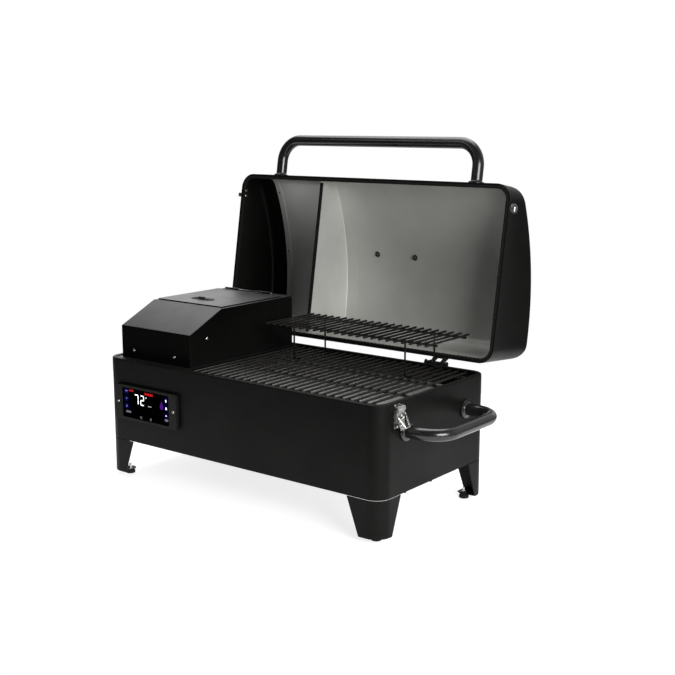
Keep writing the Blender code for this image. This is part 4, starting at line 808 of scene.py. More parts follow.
def make_flap_pull():
    """The flap's finger pull: a curled lip over a shallow cup."""
    x0, x1 = PULL_LOW.x, PULL_HIGH.x
    y0, y1 = PULL_LOW.y, PULL_HIGH.y
    z = PULL_LOW.z
    centre = (y0 + 7 * MM, z + 0.2 * MM)
    lip, inner = arc(centre, 5.4 * MM, 20, 160, 10), arc(centre, 4.0 * MM, 160, 20, 10)
    curl = prism("YZ", x0 + 23 * MM, x1 - 23 * MM, lip + inner, soft=0.5 * MM)
    cup = prism("XY", z - 0.1 * MM, z + 1.1 * MM, rounded_rectangle(x0, y0, x1, y1, 9 * MM, 8),
                rounded_rectangle(x0 + 9 * MM, y0 + 3.5 * MM, x1 - 9 * MM, y0 + 11.5 * MM, 3.9 * MM, 8),
                soft=0.5 * MM)
    piece("flap_finger_pull", joined(curl, cup), PLASTIC, "hopper_flap",
          replaces=["hopper_lid_pull"])


# ---------------------------------------------------------------- grates

GRATE_LOW, GRATE_HIGH = drawn_box("main_grate")
GRATE_RODS = 24
GRATE_PITCH = 20 * MM
GRATE_FIRST_X = -122 * MM
GRATE_ROD = 2.75 * MM
GRATE_CROSS_ROD = 2.9 * MM
GRATE_CROSS_Y = [y * MM for y in (40, 138, 244, 342)]


def make_main_grate():
    """Round rods on four cross rods that they are welded to."""
    rods = []
    z = GRATE_HIGH.z - GRATE_ROD
    for number in range(GRATE_RODS):
        x = GRATE_FIRST_X + GRATE_PITCH * number
        rods.append(tube([(x, GRATE_LOW.y, z), (x, GRATE_HIGH.y, z)], GRATE_ROD, 16, GRATE_ROD))
    z = GRATE_LOW.z + GRATE_CROSS_ROD
    for y in GRATE_CROSS_Y:
        rods.append(tube([(GRATE_LOW.x, y, z), (GRATE_HIGH.x, y, z)], GRATE_CROSS_ROD, 16, 2 * MM))
    piece("cooking_grate", joined(*rods), ENAMEL, "grate", replaces=["main_grate"],
          weighted=False)


RACK_LOW, RACK_HIGH = drawn_box("warming_rack")
RACK_RODS = 23
RACK_ROD = 2.5 * MM
RACK_LEG = 2 * MM
RACK_EDGES = (242 * MM, 352 * MM)
RACK_FEET = (-32 * MM, 266 * MM)


def make_warming_rack():
    """Rods on two edge rods, with four wire legs that end in bent feet."""
    rods = []
    top = RACK_HIGH.z - RACK_ROD
    first, last = RACK_LOW.x + 5 * MM, RACK_HIGH.x - 5 * MM
    for number in range(RACK_RODS):
        x = first + (last - first) * number / (RACK_RODS - 1)
        rods.append(tube([(x, RACK_LOW.y, top), (x, RACK_HIGH.y, top)], RACK_ROD, 14, RACK_ROD))
    edge = top - 2 * RACK_ROD + 0.4 * MM
    foot = RACK_LOW.z + RACK_LEG
    for y in RACK_EDGES:
        rods.append(tube([(RACK_LOW.x, y, edge), (RACK_HIGH.x, y, edge)], RACK_ROD, 14, RACK_ROD))
        for x in RACK_FEET:
            path = filleted([(x, y, edge + 4.5 * MM), (x, y, foot), (x + 17 * MM, y, foot),
                             (x + 20 * MM, y, foot + 6 * MM)], 3 * MM, 6)
            rods.append(tube(path, RACK_LEG, 14, RACK_LEG))
    piece("upper_rack", joined(*rods), RACK_ENAMEL, "rack", replaces=["warming_rack"],
          weighted=False)


# ---------------------------------------------------------------- lid

LID_BASE = HEIGHT + 0.8 * MM
LID_SHEET = 2 * MM
LID_EDGE = 12 * MM
LID_INSETS = [value * MM for value in (0, 0.25, 0.6, 1.2, 2, 3.2, 5, 7.5, 11, 16, 22, 30)]
FRONT_WALL_RISE = 42 * MM
CROWN_FRONT = (22 * MM, 71 * MM)
CROWN_MIDDLE = (150 * MM, 129 * MM)
CROWN_BACK = (334 * MM, 154.5 * MM)
REAR_SHOULDER = (373.5 * MM, 120 * MM)
REAR_FOOT = (382.4 * MM, 0.0)
LINER_INSET = 3 * MM
LINER_SHEET = 1.2 * MM
LINER_FACE = LINER_INSET + LINER_SHEET
LINER_LEFT = -325 * MM
LINER_RISE = 7 * MM
LID_MIDDLE = Vector((190 * MM, 40 * MM))


def circle_through(a, b, c):
    """Centre and radius of the circle through three points."""
    (ax, ay), (bx, by), (cx, cy) = a, b, c
    scale = 2 * (ax * (by - cy) + bx * (cy - ay) + cx * (ay - by))
    aa, bb, cc = ax * ax + ay * ay, bx * bx + by * by, cx * cx + cy * cy
    x = (aa * (by - cy) + bb * (cy - ay) + cc * (ay - by)) / scale
    y = (aa * (cx - bx) + bb * (ax - cx) + cc * (bx - ax)) / scale
    return x, y, math.hypot(ax - x, ay - y)


def bent(start, control, end, steps):
    """Points of a quadratic curve, without its last one."""
    return [tuple((1 - t) ** 2 * s + 2 * t * (1 - t) * c + t * t * e
                  for s, c, e in zip(start, control, end))
            for t in (step / steps for step in range(steps))]


def lid_crown():
    """The lid's side outline as (y, rise) points, from the front wall's top to the rear wall's."""
    x, y, radius = circle_through(CROWN_FRONT, CROWN_MIDDLE, CROWN_BACK)
    first = math.degrees(math.atan2(CROWN_FRONT[1] - y, CROWN_FRONT[0] - x))
    last = math.degrees(math.atan2(CROWN_BACK[1] - y, CROWN_BACK[0] - x))
    crown = arc((x, y), radius, first, last, 26)[:-1]
    front = bent((0, FRONT_WALL_RISE), (2 * MM, 60 * MM), CROWN_FRONT, 12)
    rear = bent(CROWN_BACK, (366 * MM, 154 * MM), REAR_SHOULDER, 16)
    return [*front, *crown, *rear, REAR_SHOULDER]


def lid_rise(y):
    """How high the lid stands above its rim, at a distance y from the front."""
    points = lid_crown()
    for (y0, rise0), (y1, rise1) in zip(points, points[1:]):
        if y0 <= y <= y1:
            return rise0 + (rise1 - rise0) * (y - y0) / (y1 - y0)
    return points[-1][1]


def lid_half_loop(inset, back):
    """The right half of a loop round the lid in plan, from the front to the back. Each point comes with how
    far the wall there faces sideways, from 0 to 1."""
    x, radius, corner_steps, side_steps = SIDE_X - CORNER, CORNER - inset, 12, 36
    half = []
    for middle, start in ((CORNER, -90), (back - CORNER, 0)):
        for step in range(corner_steps + 1):
            angle = math.radians(start + 90 * step / corner_steps)
            half.append((x + radius * math.cos(angle), middle + radius * math.sin(angle),
                         math.cos(angle) ** 2))
        if start < 0:
            run = back - 2 * CORNER
            half += [(x + radius, CORNER + run * step / side_steps, 1) for step in range(1, side_steps)]
    return half


def whole_loop(half):
    return half + [(-x, y, z) for x, y, z in reversed(half)]


def fill_lid(bm):
    """The lid's outside: upright walls with wide corners, and a crown with narrow rounded ends."""
    rim = whole_loop([(x, y, LID_BASE) for x, y, _ in lid_half_loop(0, REAR_FOOT[0])])
    levels = []
    for inset in LID_INSETS:
        short = max(LID_EDGE - inset, 0)
        drop = LID_EDGE - math.sqrt(LID_EDGE ** 2 - short ** 2)
        levels.append(whole_loop([(x, y, LID_BASE + lid_rise(y) - drop * sideways)
                                  for x, y, sideways in lid_half_loop(inset, REAR_SHOULDER[0])]))
    middle = [tuple((Vector(a) + Vector(b)) / 2) for a, b in zip(rim, levels[0])]
    last = skin(bm, [rim, middle, *levels])[-1]
    for near, far in zip(range(len(last) // 2 - 1), range(len(last) - 1, 0, -1)):
        bm.faces.new((last[near], last[near + 1], last[far - 1], last[far]))


def lid_skin(inset, low_rise=0.0, left=None):
    """The lid's form moved inwards by inset and faced outwards, cut off below low_rise and left of left."""
    mesh = mesh_from(fill_lid)
    inside = Vector((0, DEPTH / 2, LID_BASE + 40 * MM))
    if sum((p.center - inside).dot(p.normal) * p.area for p in mesh.polygons) < 0:
        mesh.flip_normals()
    bm = bmesh.new()
    bm.from_mesh(mesh)
    moves = [(v, v.normal * inset) for v in bm.verts]
    for vert, move in moves:
        vert.co -= move
    planes = [((0, 0, LID_BASE + low_rise), (0, 0, -1))] if low_rise else []
    if left is not None:
        planes.append(((left, 0, 0), (-1, 0, 0)))
    for at, out in planes:
        geometry = bm.verts[:] + bm.edges[:] + bm.faces[:]
        bmesh.ops.bisect_plane(bm, geom=geometry, plane_co=at, plane_no=out, clear_outer=True)
    bm.to_mesh(mesh)
    bm.free()
    return mesh


def make_lid_shell():
    piece("lid_outer_shell", thickened(lid_skin(0), LID_SHEET), BLACK, "lid", LID,
          ["lid_shell"])


def make_lid_liner():
    sheet = thickened(lid_skin(LINER_INSET, LINER_RISE, LINER_LEFT), LINER_SHEET)
    piece("lid_inner_liner", sheet, LINER, "lid", LID, ["lid_liner"])


def inner_line(low_rise):
    """Points along the lid's side outline from low_rise up and over, each with the way towards the lid's
    middle that gains a unit of depth."""
    front = [(0.0, low_rise + (FRONT_WALL_RISE - low_rise) * share) for share in (0, 0.25, 0.5, 0.75)]
    foot = tuple(s + (f - s) * (1 - low_rise / REAR_SHOULDER[1]) for s, f in zip(REAR_SHOULDER, REAR_FOOT))
    rear = [tuple(s + (f - s) * share for s, f in zip(REAR_SHOULDER, foot)) for share in (0.25, 0.5, 0.75, 1)]
    points = [Vector(p) for p in (*front, *lid_crown(), *rear)]
    found = []
    for number, point in enumerate(points):
        along = points[min(number + 1, len(points) - 1)] - points[max(number - 1, 0)]
        inward = Vector((along.y, -along.x)).normalized()
        way = (LID_MIDDLE - point).normalized()
        found.append((point, way / way.dot(inward)))
    return found


def swept(section, low_rise):
    """A strip along the inside of the lid, with a closed section of (x, depth) points."""
    rings = []
    for point, way in inner_line(low_rise):
        places = [(x, point + way * depth) for x, depth in section]
        rings.append([(x, place.x, LID_BASE + place.y) for x, place in places])
    return mesh_from(skin_capped, rings)


PARTITION_X = -132 * MM
PARTITION_SHEET = 1.6 * MM
PARTITION_BEND = 1.6 * MM
PARTITION_FLANGE = 31 * MM
PARTITION_RISE = 8 * MM


def partition_fold(depth):
    """The section of the partition's bend and flange, which lie against the liner."""
    face = PARTITION_X + PARTITION_SHEET / 2
    centre = face + PARTITION_BEND
    top = depth + PARTITION_BEND
    angles = radians(*range(0, 91, 15))
    near = [(centre - PARTITION_BEND * math.cos(a), top - PARTITION_BEND * math.sin(a)) for a in angles]
    wide = PARTITION_BEND + PARTITION_SHEET
    far = [(centre - wide * math.cos(a), top - (PARTITION_BEND + 1.2 * MM) * math.sin(a)) for a in angles]
    end = PARTITION_X + PARTITION_FLANGE
    return [*near, (end, depth), (end, depth - 1.2 * MM), *reversed(far)]


def make_partition():
    """The lid's partition, which bends into a flange on the liner, and the sealing strip on its free edge."""
    depth = LINER_FACE + 0.3 * MM
    low, high = PARTITION_X - PARTITION_SHEET / 2, PARTITION_X + PARTITION_SHEET / 2
    edge = [point + way * (depth + PARTITION_BEND) for point, way in inner_line(PARTITION_RISE)]
    base = LID_BASE + 2.4 * MM
    outline = [(edge[0].x, base), *[(p.x, LID_BASE + p.y) for p in edge], (edge[-1].x, base)]
    plate = prism("YZ", low, high, outline)
    fold = swept(partition_fold(depth), PARTITION_RISE)
    piece("partition_plate", joined(plate, fold), LINER, "lid", LID, ["lid_partition"],
          weighted=False)
    strip = box((PARTITION_X - MM, 14 * MM, LID_BASE + 1.2 * MM),
                (PARTITION_X + 8 * MM, 368 * MM, LID_BASE + 4.2 * MM), 1.2 * MM)
    piece("partition_seal", strip, GASKET, "lid", LID)


def on_crown(y, depth):
    """A point inside the lid's crown, depth under its outside, and the way inwards there, both as (y, z)."""
    step = 2 * MM
    slope = (lid_rise(y + step) - lid_rise(y - step)) / (2 * step)
    inward = Vector((slope, -1)).normalized()
    place = Vector((y, LID_BASE + lid_rise(y))) + inward * depth
    return place, inward


def make_liner_trim():
    """The strip over the liner's left edge, its rivets, and the cap nuts of the badge's studs."""
    section = [(LINER_LEFT - MM, LINER_FACE), (LINER_LEFT - MM, LINER_FACE + 1.3 * MM),
               (LINER_LEFT + 14 * MM, LINER_FACE + 1.3 * MM), (LINER_LEFT + 14 * MM, LINER_FACE)]
    piece("liner_edge_strip", swept(section, LINER_RISE), LINER, "lid", LID,
          weighted=False)
    rivets = []
    for y in (34 * MM, 178 * MM):
        place, inward = on_crown(y, LINER_FACE + 0.4 * MM)
        rivets.append(screw_head((LINER_LEFT + 6.5 * MM, *place), (0, *inward), 2.6 * MM, False))
    piece("liner_edge_rivets", joined(*rivets), TUBE, "lid", LID)
    nuts = []
    for x in (-38 * MM, 71 * MM):
        place, inward = on_crown(167 * MM, LINER_FACE)
        dome = [(2.6 * MM + 3.4 * MM * math.sin(a), 5.4 * MM * math.cos(a))
                for a in radians(0, 20, 40, 60, 80)]
        start = Vector((x, *place))
        nuts.append(lathe([(0, 7.2 * MM), (0.9 * MM, 7.2 * MM), (0.9 * MM, 5.9 * MM), (2.6 * MM, 5.9 * MM),
                           *dome], start, start + Vector((0, *inward)), 20))
    piece("badge_nuts", joined(*nuts), TUBE, "lid", LID)
    ends = [screw_head((LID_SHEET - SIDE_X, y, LID_BASE + 15 * MM), (1, 0, 0), 3 * MM, False)
            for y in (41 * MM, 53 * MM)]
    piece("lid_end_rivets", joined(*ends), STEEL, "lid", LID)


def make_badge():
    """A blank plate with a raised border, pinned to the crown."""
    low, high = drawn_box("badge_plate", LID)
    y = (low.y + high.y) / 2
    place, inward = on_crown(y, -0.7 * MM)
    half_x, half_y = (high.x - low.x) / 2, 16 * MM
    outline = rounded_rectangle(-half_x, -half_y, half_x, half_y, 6 * MM, 8)
    window = rounded_rectangle(3 * MM - half_x, 3 * MM - half_y, half_x - 3 * MM, half_y - 3 * MM, 4 * MM, 8)
    plate = prism("XY", -0.6 * MM, 0.2 * MM, outline, soft=0.3 * MM)
    border = prism("XY", 0.1 * MM, 0.6 * MM, outline, window, soft=0.2 * MM)
    mesh = joined(plate, border)
    mesh.transform(Matrix.Translation(((low.x + high.x) / 2, *place))
                   @ Matrix.Rotation(math.atan2(inward.x, -inward.y), 4, "X"))
    piece("blank_badge", mesh, STEEL, "lid", LID, ["badge_plate"])


def make_gasket():
    """A rope seal round the rim, its strands raised as a twist."""
    low, high = drawn_box("lid_gasket", LID)
    z = (low.z + high.z) / 2
    half_z = (high.z - low.z) / 2
    inset = low.x + SIDE_X + 4 * MM
    path = rounded_rectangle(inset - SIDE_X, inset, SIDE_X - inset, DEPTH - inset, CORNER - inset, 24)
    spaced = []
    for a, b in zip(path, path[1:] + path[:1]):
        a, b = Vector(a), Vector(b)
        count = max(1, round((b - a).length / (2 * MM)))
        spaced += [a + (b - a) * step / count for step in range(count)]
    total = len(spaced)
    twists = round(total / 5)

    def build(bm):
        rings = []
        for number, at in enumerate(spaced):
            along = (spaced[(number + 1) % total] - spaced[number - 1]).normalized()
            side = Vector((along.y, -along.x))
            ring = []
            for step in range(12):
                angle = 2 * math.pi * step / 12
                swell = 0.93 + 0.07 * math.cos(2 * angle + 2 * math.pi * twists * number / total)
                across = side * 4 * MM * swell * math.cos(angle)
                ring.append((at.x + across.x, at.y + across.y, z + half_z * swell * math.sin(angle)))
            rings.append(ring)
        skin(bm, rings, wrap=True)

    piece("rim_rope_seal", mesh_from(build), GASKET, "lid", LID, ["lid_gasket"],
          weighted=False)


# ---------------------------------------------------------------- controls

def make_controls():
    low, high = drawn_box("control_bezel")
    pane_low, pane_high = drawn_box("display_glass")
    outline = rounded_rectangle(low.x, low.z, high.x, high.z, 6 * MM, 8)
    window = rounded_rectangle(pane_low.x - 0.3 * MM, pane_low.z - 0.3 * MM, pane_high.x + 0.3 * MM,
                               pane_high.z + 0.3 * MM, 3 * MM, 6)
    front = low.y + 1 * MM
    frame_mesh = prism("XZ", front, high.y, outline, window, soft=0.9 * MM, segments=3)
    piece("display_bezel", frame_mesh, PLASTIC, "tub", replaces=["control_bezel"])
    pane = prism("XZ", pane_low.y, pane_high.y,
                 rounded_rectangle(pane_low.x, pane_low.z, pane_high.x, pane_high.z, 2.7 * MM, 6),
                 soft=0.4 * MM)
    piece("display_pane", pane, GLASS, "tub", replaces=["display_glass"])
    heads = [screw_head((x, front + 0.9 * MM, 92 * MM), (0, -1, 0), 3.4 * MM) for x in (-335 * MM, -162 * MM)]
    piece("bezel_screws", joined(*heads), STEEL, "tub")


MARK_SHEET = 0.12 * MM
MARK_STEP = 0.13 * MM
SEGMENTS = {"2": "abged", "7": "abc"}
SEGMENT_PLACES = {"a": (0, 1, 1, 1), "b": (1, 1, 1, 0.5), "c": (1, 0.5, 1, 0), "d": (0, 0, 1, 0),
                  "e": (0, 0.5, 0, 0), "g": (0, 0.5, 1, 0.5)}


def make_display_marks():
    """The lit read-out: two segment digits, red bars, a drop, and small round or barred marks."""
    low, high = drawn_box("display_glass")
    face = low.y - 0.02 * MM
    width, height = high.x - low.x, high.z - low.z

    def at(u, v):
        """A place on the glass: u from its left side, v from its top."""
        return low.x + u * width, high.z - v * height

    def plate(u0, v0, u1, v1, soft=0.5):
        x0, z1 = at(u0, v0)
        x1, z0 = at(u1, v1)
        radius = min(x1 - x0, z1 - z0) / 2 * soft
        return prism("XZ", face - MARK_SHEET, face, rounded_rectangle(x0, z0, x1, z1, radius, 4))

    def ring(u, v, radius, wide):
        x, z = at(u, v)
        outline = rounded_rectangle(x - radius, z - radius, x + radius, z + radius, radius * 0.98, 6)
        inner = radius - wide
        hole = rounded_rectangle(x - inner, z - inner, x + inner, z + inner, inner * 0.98, 6)
        return prism("XZ", face - MARK_SHEET, face, outline, hole)

    def drop(u, v, radius):
        """A drop: a round foot drawn up to a point."""
        x, z = at(u, v)
        outline = arc((x, z), radius, -210, 30, 20) + [(x, z + 2.7 * radius)]
        return prism("XZ", face - MARK_SHEET, face, outline)

    def digit(name, u0, v0, u1, v1):
        (x0, z1), (x1, z0) = at(u0, v0), at(u1, v1)
        half = 1.15 * MM
        bars = []
        for segment in SEGMENTS[name]:
            a0, b0, a1, b1 = SEGMENT_PLACES[segment]
            ax, az = x0 + (x1 - x0) * a0, z0 + (z1 - z0) * b0
            bx, bz = x0 + (x1 - x0) * a1, z0 + (z1 - z0) * b1
            level = az == bz
            side = (0, half) if level else (half, 0)
            trim = (0.4 * MM, 0) if level else (0, 0.4 * MM)
            bars.append(prism("XZ", face - MARK_SHEET, face, rounded_rectangle(
                min(ax, bx) - side[0] + trim[0], min(az, bz) - side[1] + trim[1],
                max(ax, bx) + side[0] - trim[0], max(az, bz) + side[1] - trim[1], 0.6 * MM, 2)))
        return bars

    marks = {
        "read_out_digits": (LIT_WHITE,
                            [*digit("7", 0.275, 0.18, 0.345, 0.49), *digit("2", 0.4, 0.18, 0.465, 0.49),
                             ring(0.52, 0.22, 1.3 * MM, 0.6 * MM)]),
        "heat_bars": (LIT_RED, [plate(0.15 + 0.033 * n, 0.04, 0.178 + 0.033 * n, 0.1, 0.4) for n in range(3)]
                      + [plate(0.49 + 0.036 * n, 0.05, 0.521 + 0.036 * n, 0.13, 0.4) for n in range(5)]),
        "side_columns": (LIT_BLUE, [plate(0.045, v - 0.09, 0.13, v + 0.09, 0.6) for v in (0.12, 0.37, 0.62)]
                         + [plate(0.915, v - 0.09, 0.98, v + 0.09, 0.6) for v in (0.17, 0.42, 0.67)]),
        "side_pills": (LIT_DIM, [plate(0.07, 0.77, 0.18, 0.84, 0.95), plate(0.91, 0.78, 0.985, 0.86, 0.95)]),
        "dash_mark": (LIT_GREY, [plate(0.56, 0.47, 0.63, 0.505)]),
        "touch_rings": (LIT_GREY,
                        [ring(0.4, 0.92, 2.6 * MM, 0.6 * MM), ring(0.61, 0.92, 2.6 * MM, 0.6 * MM)]),
        "drop_mark": (LIT_VIOLET, [drop(0.85, 0.42, 5.4 * MM)]),
    }
    for name, (finish, meshes) in marks.items():
        piece(name, joined(*meshes), finish, "tub", weighted=False)
    face -= MARK_STEP
    pale = [plate(0.068, 0.09, 0.112, 0.115), ring(0.09, 0.36, 1.6 * MM, 0.6 * MM),
            ring(0.09, 0.62, 2.1 * MM, 0.9 * MM)]
    piece("left_marks", joined(*pale), LIT_PALE, "tub", weighted=False)
    white = [plate(0.935, 0.14, 0.955, 0.22), plate(0.935, 0.39, 0.96, 0.47), plate(0.93, 0.66, 0.955, 0.685)]
    piece("right_marks", joined(*white), LIT_WHITE, "tub", weighted=False)


# The socket opens to the back; its floor is the sheet between these two.
SOCKET_BACK = 360 * MM
SOCKET_FLOOR = 362 * MM


def make_power():
    """The back panel's plate, with the socket's recess and pins and the well of the rocker switch."""
    low, high = drawn_box("power_inlet")
    face = DEPTH + 0.3 * MM
    flange = rounded_rectangle(low.x, low.z, high.x, high.z, 4 * MM, 6)
    socket = rounded_rectangle(-330 * MM, 41.5 * MM, -298 * MM, 60.5 * MM, 3 * MM, 5)
    bay = rounded_rectangle(-286 * MM, 40 * MM, -264 * MM, 62 * MM, 1 * MM, 3)
    plate = prism("XZ", face, face + 2 * MM, flange, socket, bay, soft=0.4 * MM)
    around_socket = rounded_rectangle(-332 * MM, 39.5 * MM, -296 * MM, 62.5 * MM, 4 * MM, 5)
    around_bay = rounded_rectangle(-288 * MM, 38.5 * MM, -262 * MM, 63.5 * MM, 2 * MM, 3)
    sleeves = [prism("XZ", SOCKET_FLOOR, face + 0.2 * MM, around_socket, socket),
               prism("XZ", 364 * MM, face + 0.2 * MM, around_bay, bay)]
    floor = prism("XZ", SOCKET_BACK, SOCKET_FLOOR, around_socket)
    piece("socket_body", joined(plate, *sleeves, floor), PLASTIC, "tub",
          replaces=["power_inlet"])
    pins = [box((x * MM, SOCKET_FLOOR, z * MM), ((x + 2) * MM, 378 * MM, (z + 6) * MM), 0.5 * MM)
            for x, z in ((-322, 45), (-308, 45), (-315, 51.5))]
    heads = [screw_head((x, face + 1.9 * MM, 51 * MM), (0, 1, 0), 2.4 * MM)
             for x in (-335.5 * MM, -258.5 * MM)]
    piece("socket_pins", joined(*pins), STEEL, "tub")
    piece("socket_screws", joined(*heads), STEEL, "tub")


# ---------------------------------------------------------------- latches

LATCH_Y = 52 * MM
LATCH_HALF = 11 * MM
LEVER_PIVOT = (389 * MM, 175 * MM)
BAIL_PIVOT = (387.5 * MM, 166 * MM)
BAIL_LENGTH = 31 * MM
BAIL_HANG = math.radians(35)
BAIL_WIRE = 1.3 * MM
LATCH_SHEET = 1.5 * MM
EAR_SHEET = 1.2 * MM
CATCH_HALF = 4.5 * MM
CATCH_FOOT_Z = 188.6 * MM
CATCH_CENTRE_Z = 206.5 * MM


def strip_outline(path, thick):
    """The outline of a bent strip that follows a path of (u, v) points."""
    path = [Vector((u, v)) for u, v in path]
    left, right = [], []
    for number, point in enumerate(path):
        along = (path[min(number + 1, len(path) - 1)] - path[max(number - 1, 0)]).normalized()
        side = Vector((-along.y, along.x)) * thick / 2
        left.append(tuple(point + side))
        right.append(tuple(point - side))
    return left + right[::-1]


def make_latches():
    """A toggle latch on each end: eared plate, channel lever with a curled lip, wire bail and keeper."""
    x, z = LEVER_PIVOT
    bx, bz = BAIL_PIVOT
    wall = SIDE_X + 0.3 * MM
    low_y, high_y = LATCH_Y - LATCH_HALF, LATCH_Y + LATCH_HALF
    outline = rounded_rectangle(low_y, z - 40 * MM, high_y, z + 7 * MM, 4 * MM, 6)
    plate = prism("YZ", wall, wall + LATCH_SHEET, outline, soft=0.4 * MM)
    ear = [(wall + MM, z - 7 * MM), (x + 1 * MM, z - 5 * MM), (x + 3.3 * MM, z - 2 * MM),
           (x + 3.3 * MM, z + 2.5 * MM), (x + 1 * MM, z + 4 * MM), (wall + MM, z + 5 * MM)]
    ears = [prism("XZ", y, y + EAR_SHEET, ear, soft=0.3 * MM) for y in (low_y, high_y - EAR_SHEET)]
    bolt = disc((x, low_y - 0.6 * MM, z), (x, high_y + 0.6 * MM, z), 1.5 * MM, 0.4 * MM, 20)
    feet = [screw_head((wall + 1.4 * MM, LATCH_Y, level), (1, 0, 0), 2.6 * MM, False)
            for level in (z - 36 * MM, z - 24 * MM)]
    inner = LATCH_HALF - 2.2 * MM
    path = filleted([(x - 3.4 * MM, z + 4.6 * MM, 0), (x + 2 * MM, z + 4.4 * MM, 0),
                     (x + 2 * MM, z - 30 * MM, 0), (x + 6.2 * MM, z - 40.4 * MM, 0)], 3 * MM, 6)
    web = prism("XZ", LATCH_Y - inner, LATCH_Y + inner, strip_outline([(p.x, p.y) for p in path], 1.3 * MM),
                soft=0.3 * MM)
    cheeks = [box((x - 2.4 * MM, y, z - 29 * MM), (x + 1.6 * MM, y + 1.1 * MM, z + 3 * MM), 0.3 * MM)
              for y in (LATCH_Y - inner, LATCH_Y + inner - 1.1 * MM)]
    rivet = screw_head((x + 2.5 * MM, LATCH_Y, z - 13 * MM), (1, 0, 0), 2.8 * MM, False)
    reach = inner + 0.6 * MM
    pin = disc((bx, LATCH_Y - reach, bz), (bx, LATCH_Y + reach, bz), 1.2 * MM, 0.3 * MM, 16)
    narrow, side = 6.5 * MM, LATCH_HALF + 2 * MM
    loop = [(0, LATCH_HALF - 1.4 * MM, 0), (0, side, 0), (0, side, 8 * MM), (0, narrow, BAIL_LENGTH),
            (0, -narrow, BAIL_LENGTH), (0, -side, 8 * MM), (0, -side, 0), (0, 1.4 * MM - LATCH_HALF, 0)]
    wire = tube(filleted(loop, 1.8 * MM, 6), BAIL_WIRE, 14)
    wire.transform(Matrix.Translation((bx, LATCH_Y, bz)) @ Matrix.Rotation(math.pi - BAIL_HANG, 4, "Y"))
    hook_z = bz + BAIL_LENGTH - BAIL_WIRE
    oval = [(LATCH_Y - 2.5 * MM + 10.5 * MM * math.cos(a), CATCH_CENTRE_Z + 15 * MM * math.sin(a))
            for a in (2 * math.pi * step / 40 for step in range(40))]
    catch = [prism("YZ", wall, wall + LATCH_SHEET, oval, soft=0.5 * MM)]
    path = filleted([(wall + 0.8 * MM, 189.3 * MM, 0), (bx + 4.4 * MM, 189.3 * MM, 0),
                     (bx + 4.8 * MM, hook_z + 3.8 * MM, 0)], 2 * MM, 5)
    near, far = LATCH_Y - CATCH_HALF, LATCH_Y + CATCH_HALF
    catch.append(prism("XZ", near, far, strip_outline([(p.x, p.y) for p in path], 1.4 * MM), soft=0.3 * MM))
    catch.append(box((wall, near, CATCH_FOOT_Z), (wall + LATCH_SHEET, far, 200 * MM), 0.3 * MM))
    for name, sign in SIDES:
        base = joined(plate, *ears, bolt, *feet)
        piece(f"latch_mount_{name}", mirrored(base, sign), STEEL, "tub",
              replaces=[f"latch_base_{name}"])
        lever = joined(web, *cheeks, rivet, pin)
        piece(f"latch_arm_{name}", mirrored(lever, sign), STEEL, f"lever_{name}",
              replaces=[f"latch_lever_{name}"])
        piece(f"latch_wire_{name}", mirrored(wire.copy(), sign), STEEL, f"bail_{name}",
              replaces=[f"latch_bail_{name}"], weighted=False)
        piece(f"latch_catch_{name}", mirrored(joined(*catch), sign), STEEL, "lid", LID,
              [f"latch_keeper_{name}"])


# ---------------------------------------------------------------- lid hinges

HINGE_X = 243 * MM
HINGE_HALF = 28 * MM
HINGE_CENTRE = 14 * MM
HINGE_Y, HINGE_Z = 395.5 * MM, 184.5 * MM
HINGE_BARREL = 6 * MM
HINGE_SHEET = 2 * MM
HINGE_SLEEVE, HINGE_BORE = 4.3 * MM, 3.1 * MM
HINGE_WALL = DEPTH + 0.3 * MM


def hinge_ears(places, outline):
    return [prism("YZ", x, x + HINGE_SHEET, outline, soft=0.4 * MM) for x in places]


def sleeve(low, high):
    """A tube round the hinge pin."""
    return prism("YZ", low, high, *[arc((HINGE_Y, HINGE_Z), radius, 0, 345, 23)
                                    for radius in (HINGE_SLEEVE, HINGE_BORE)])


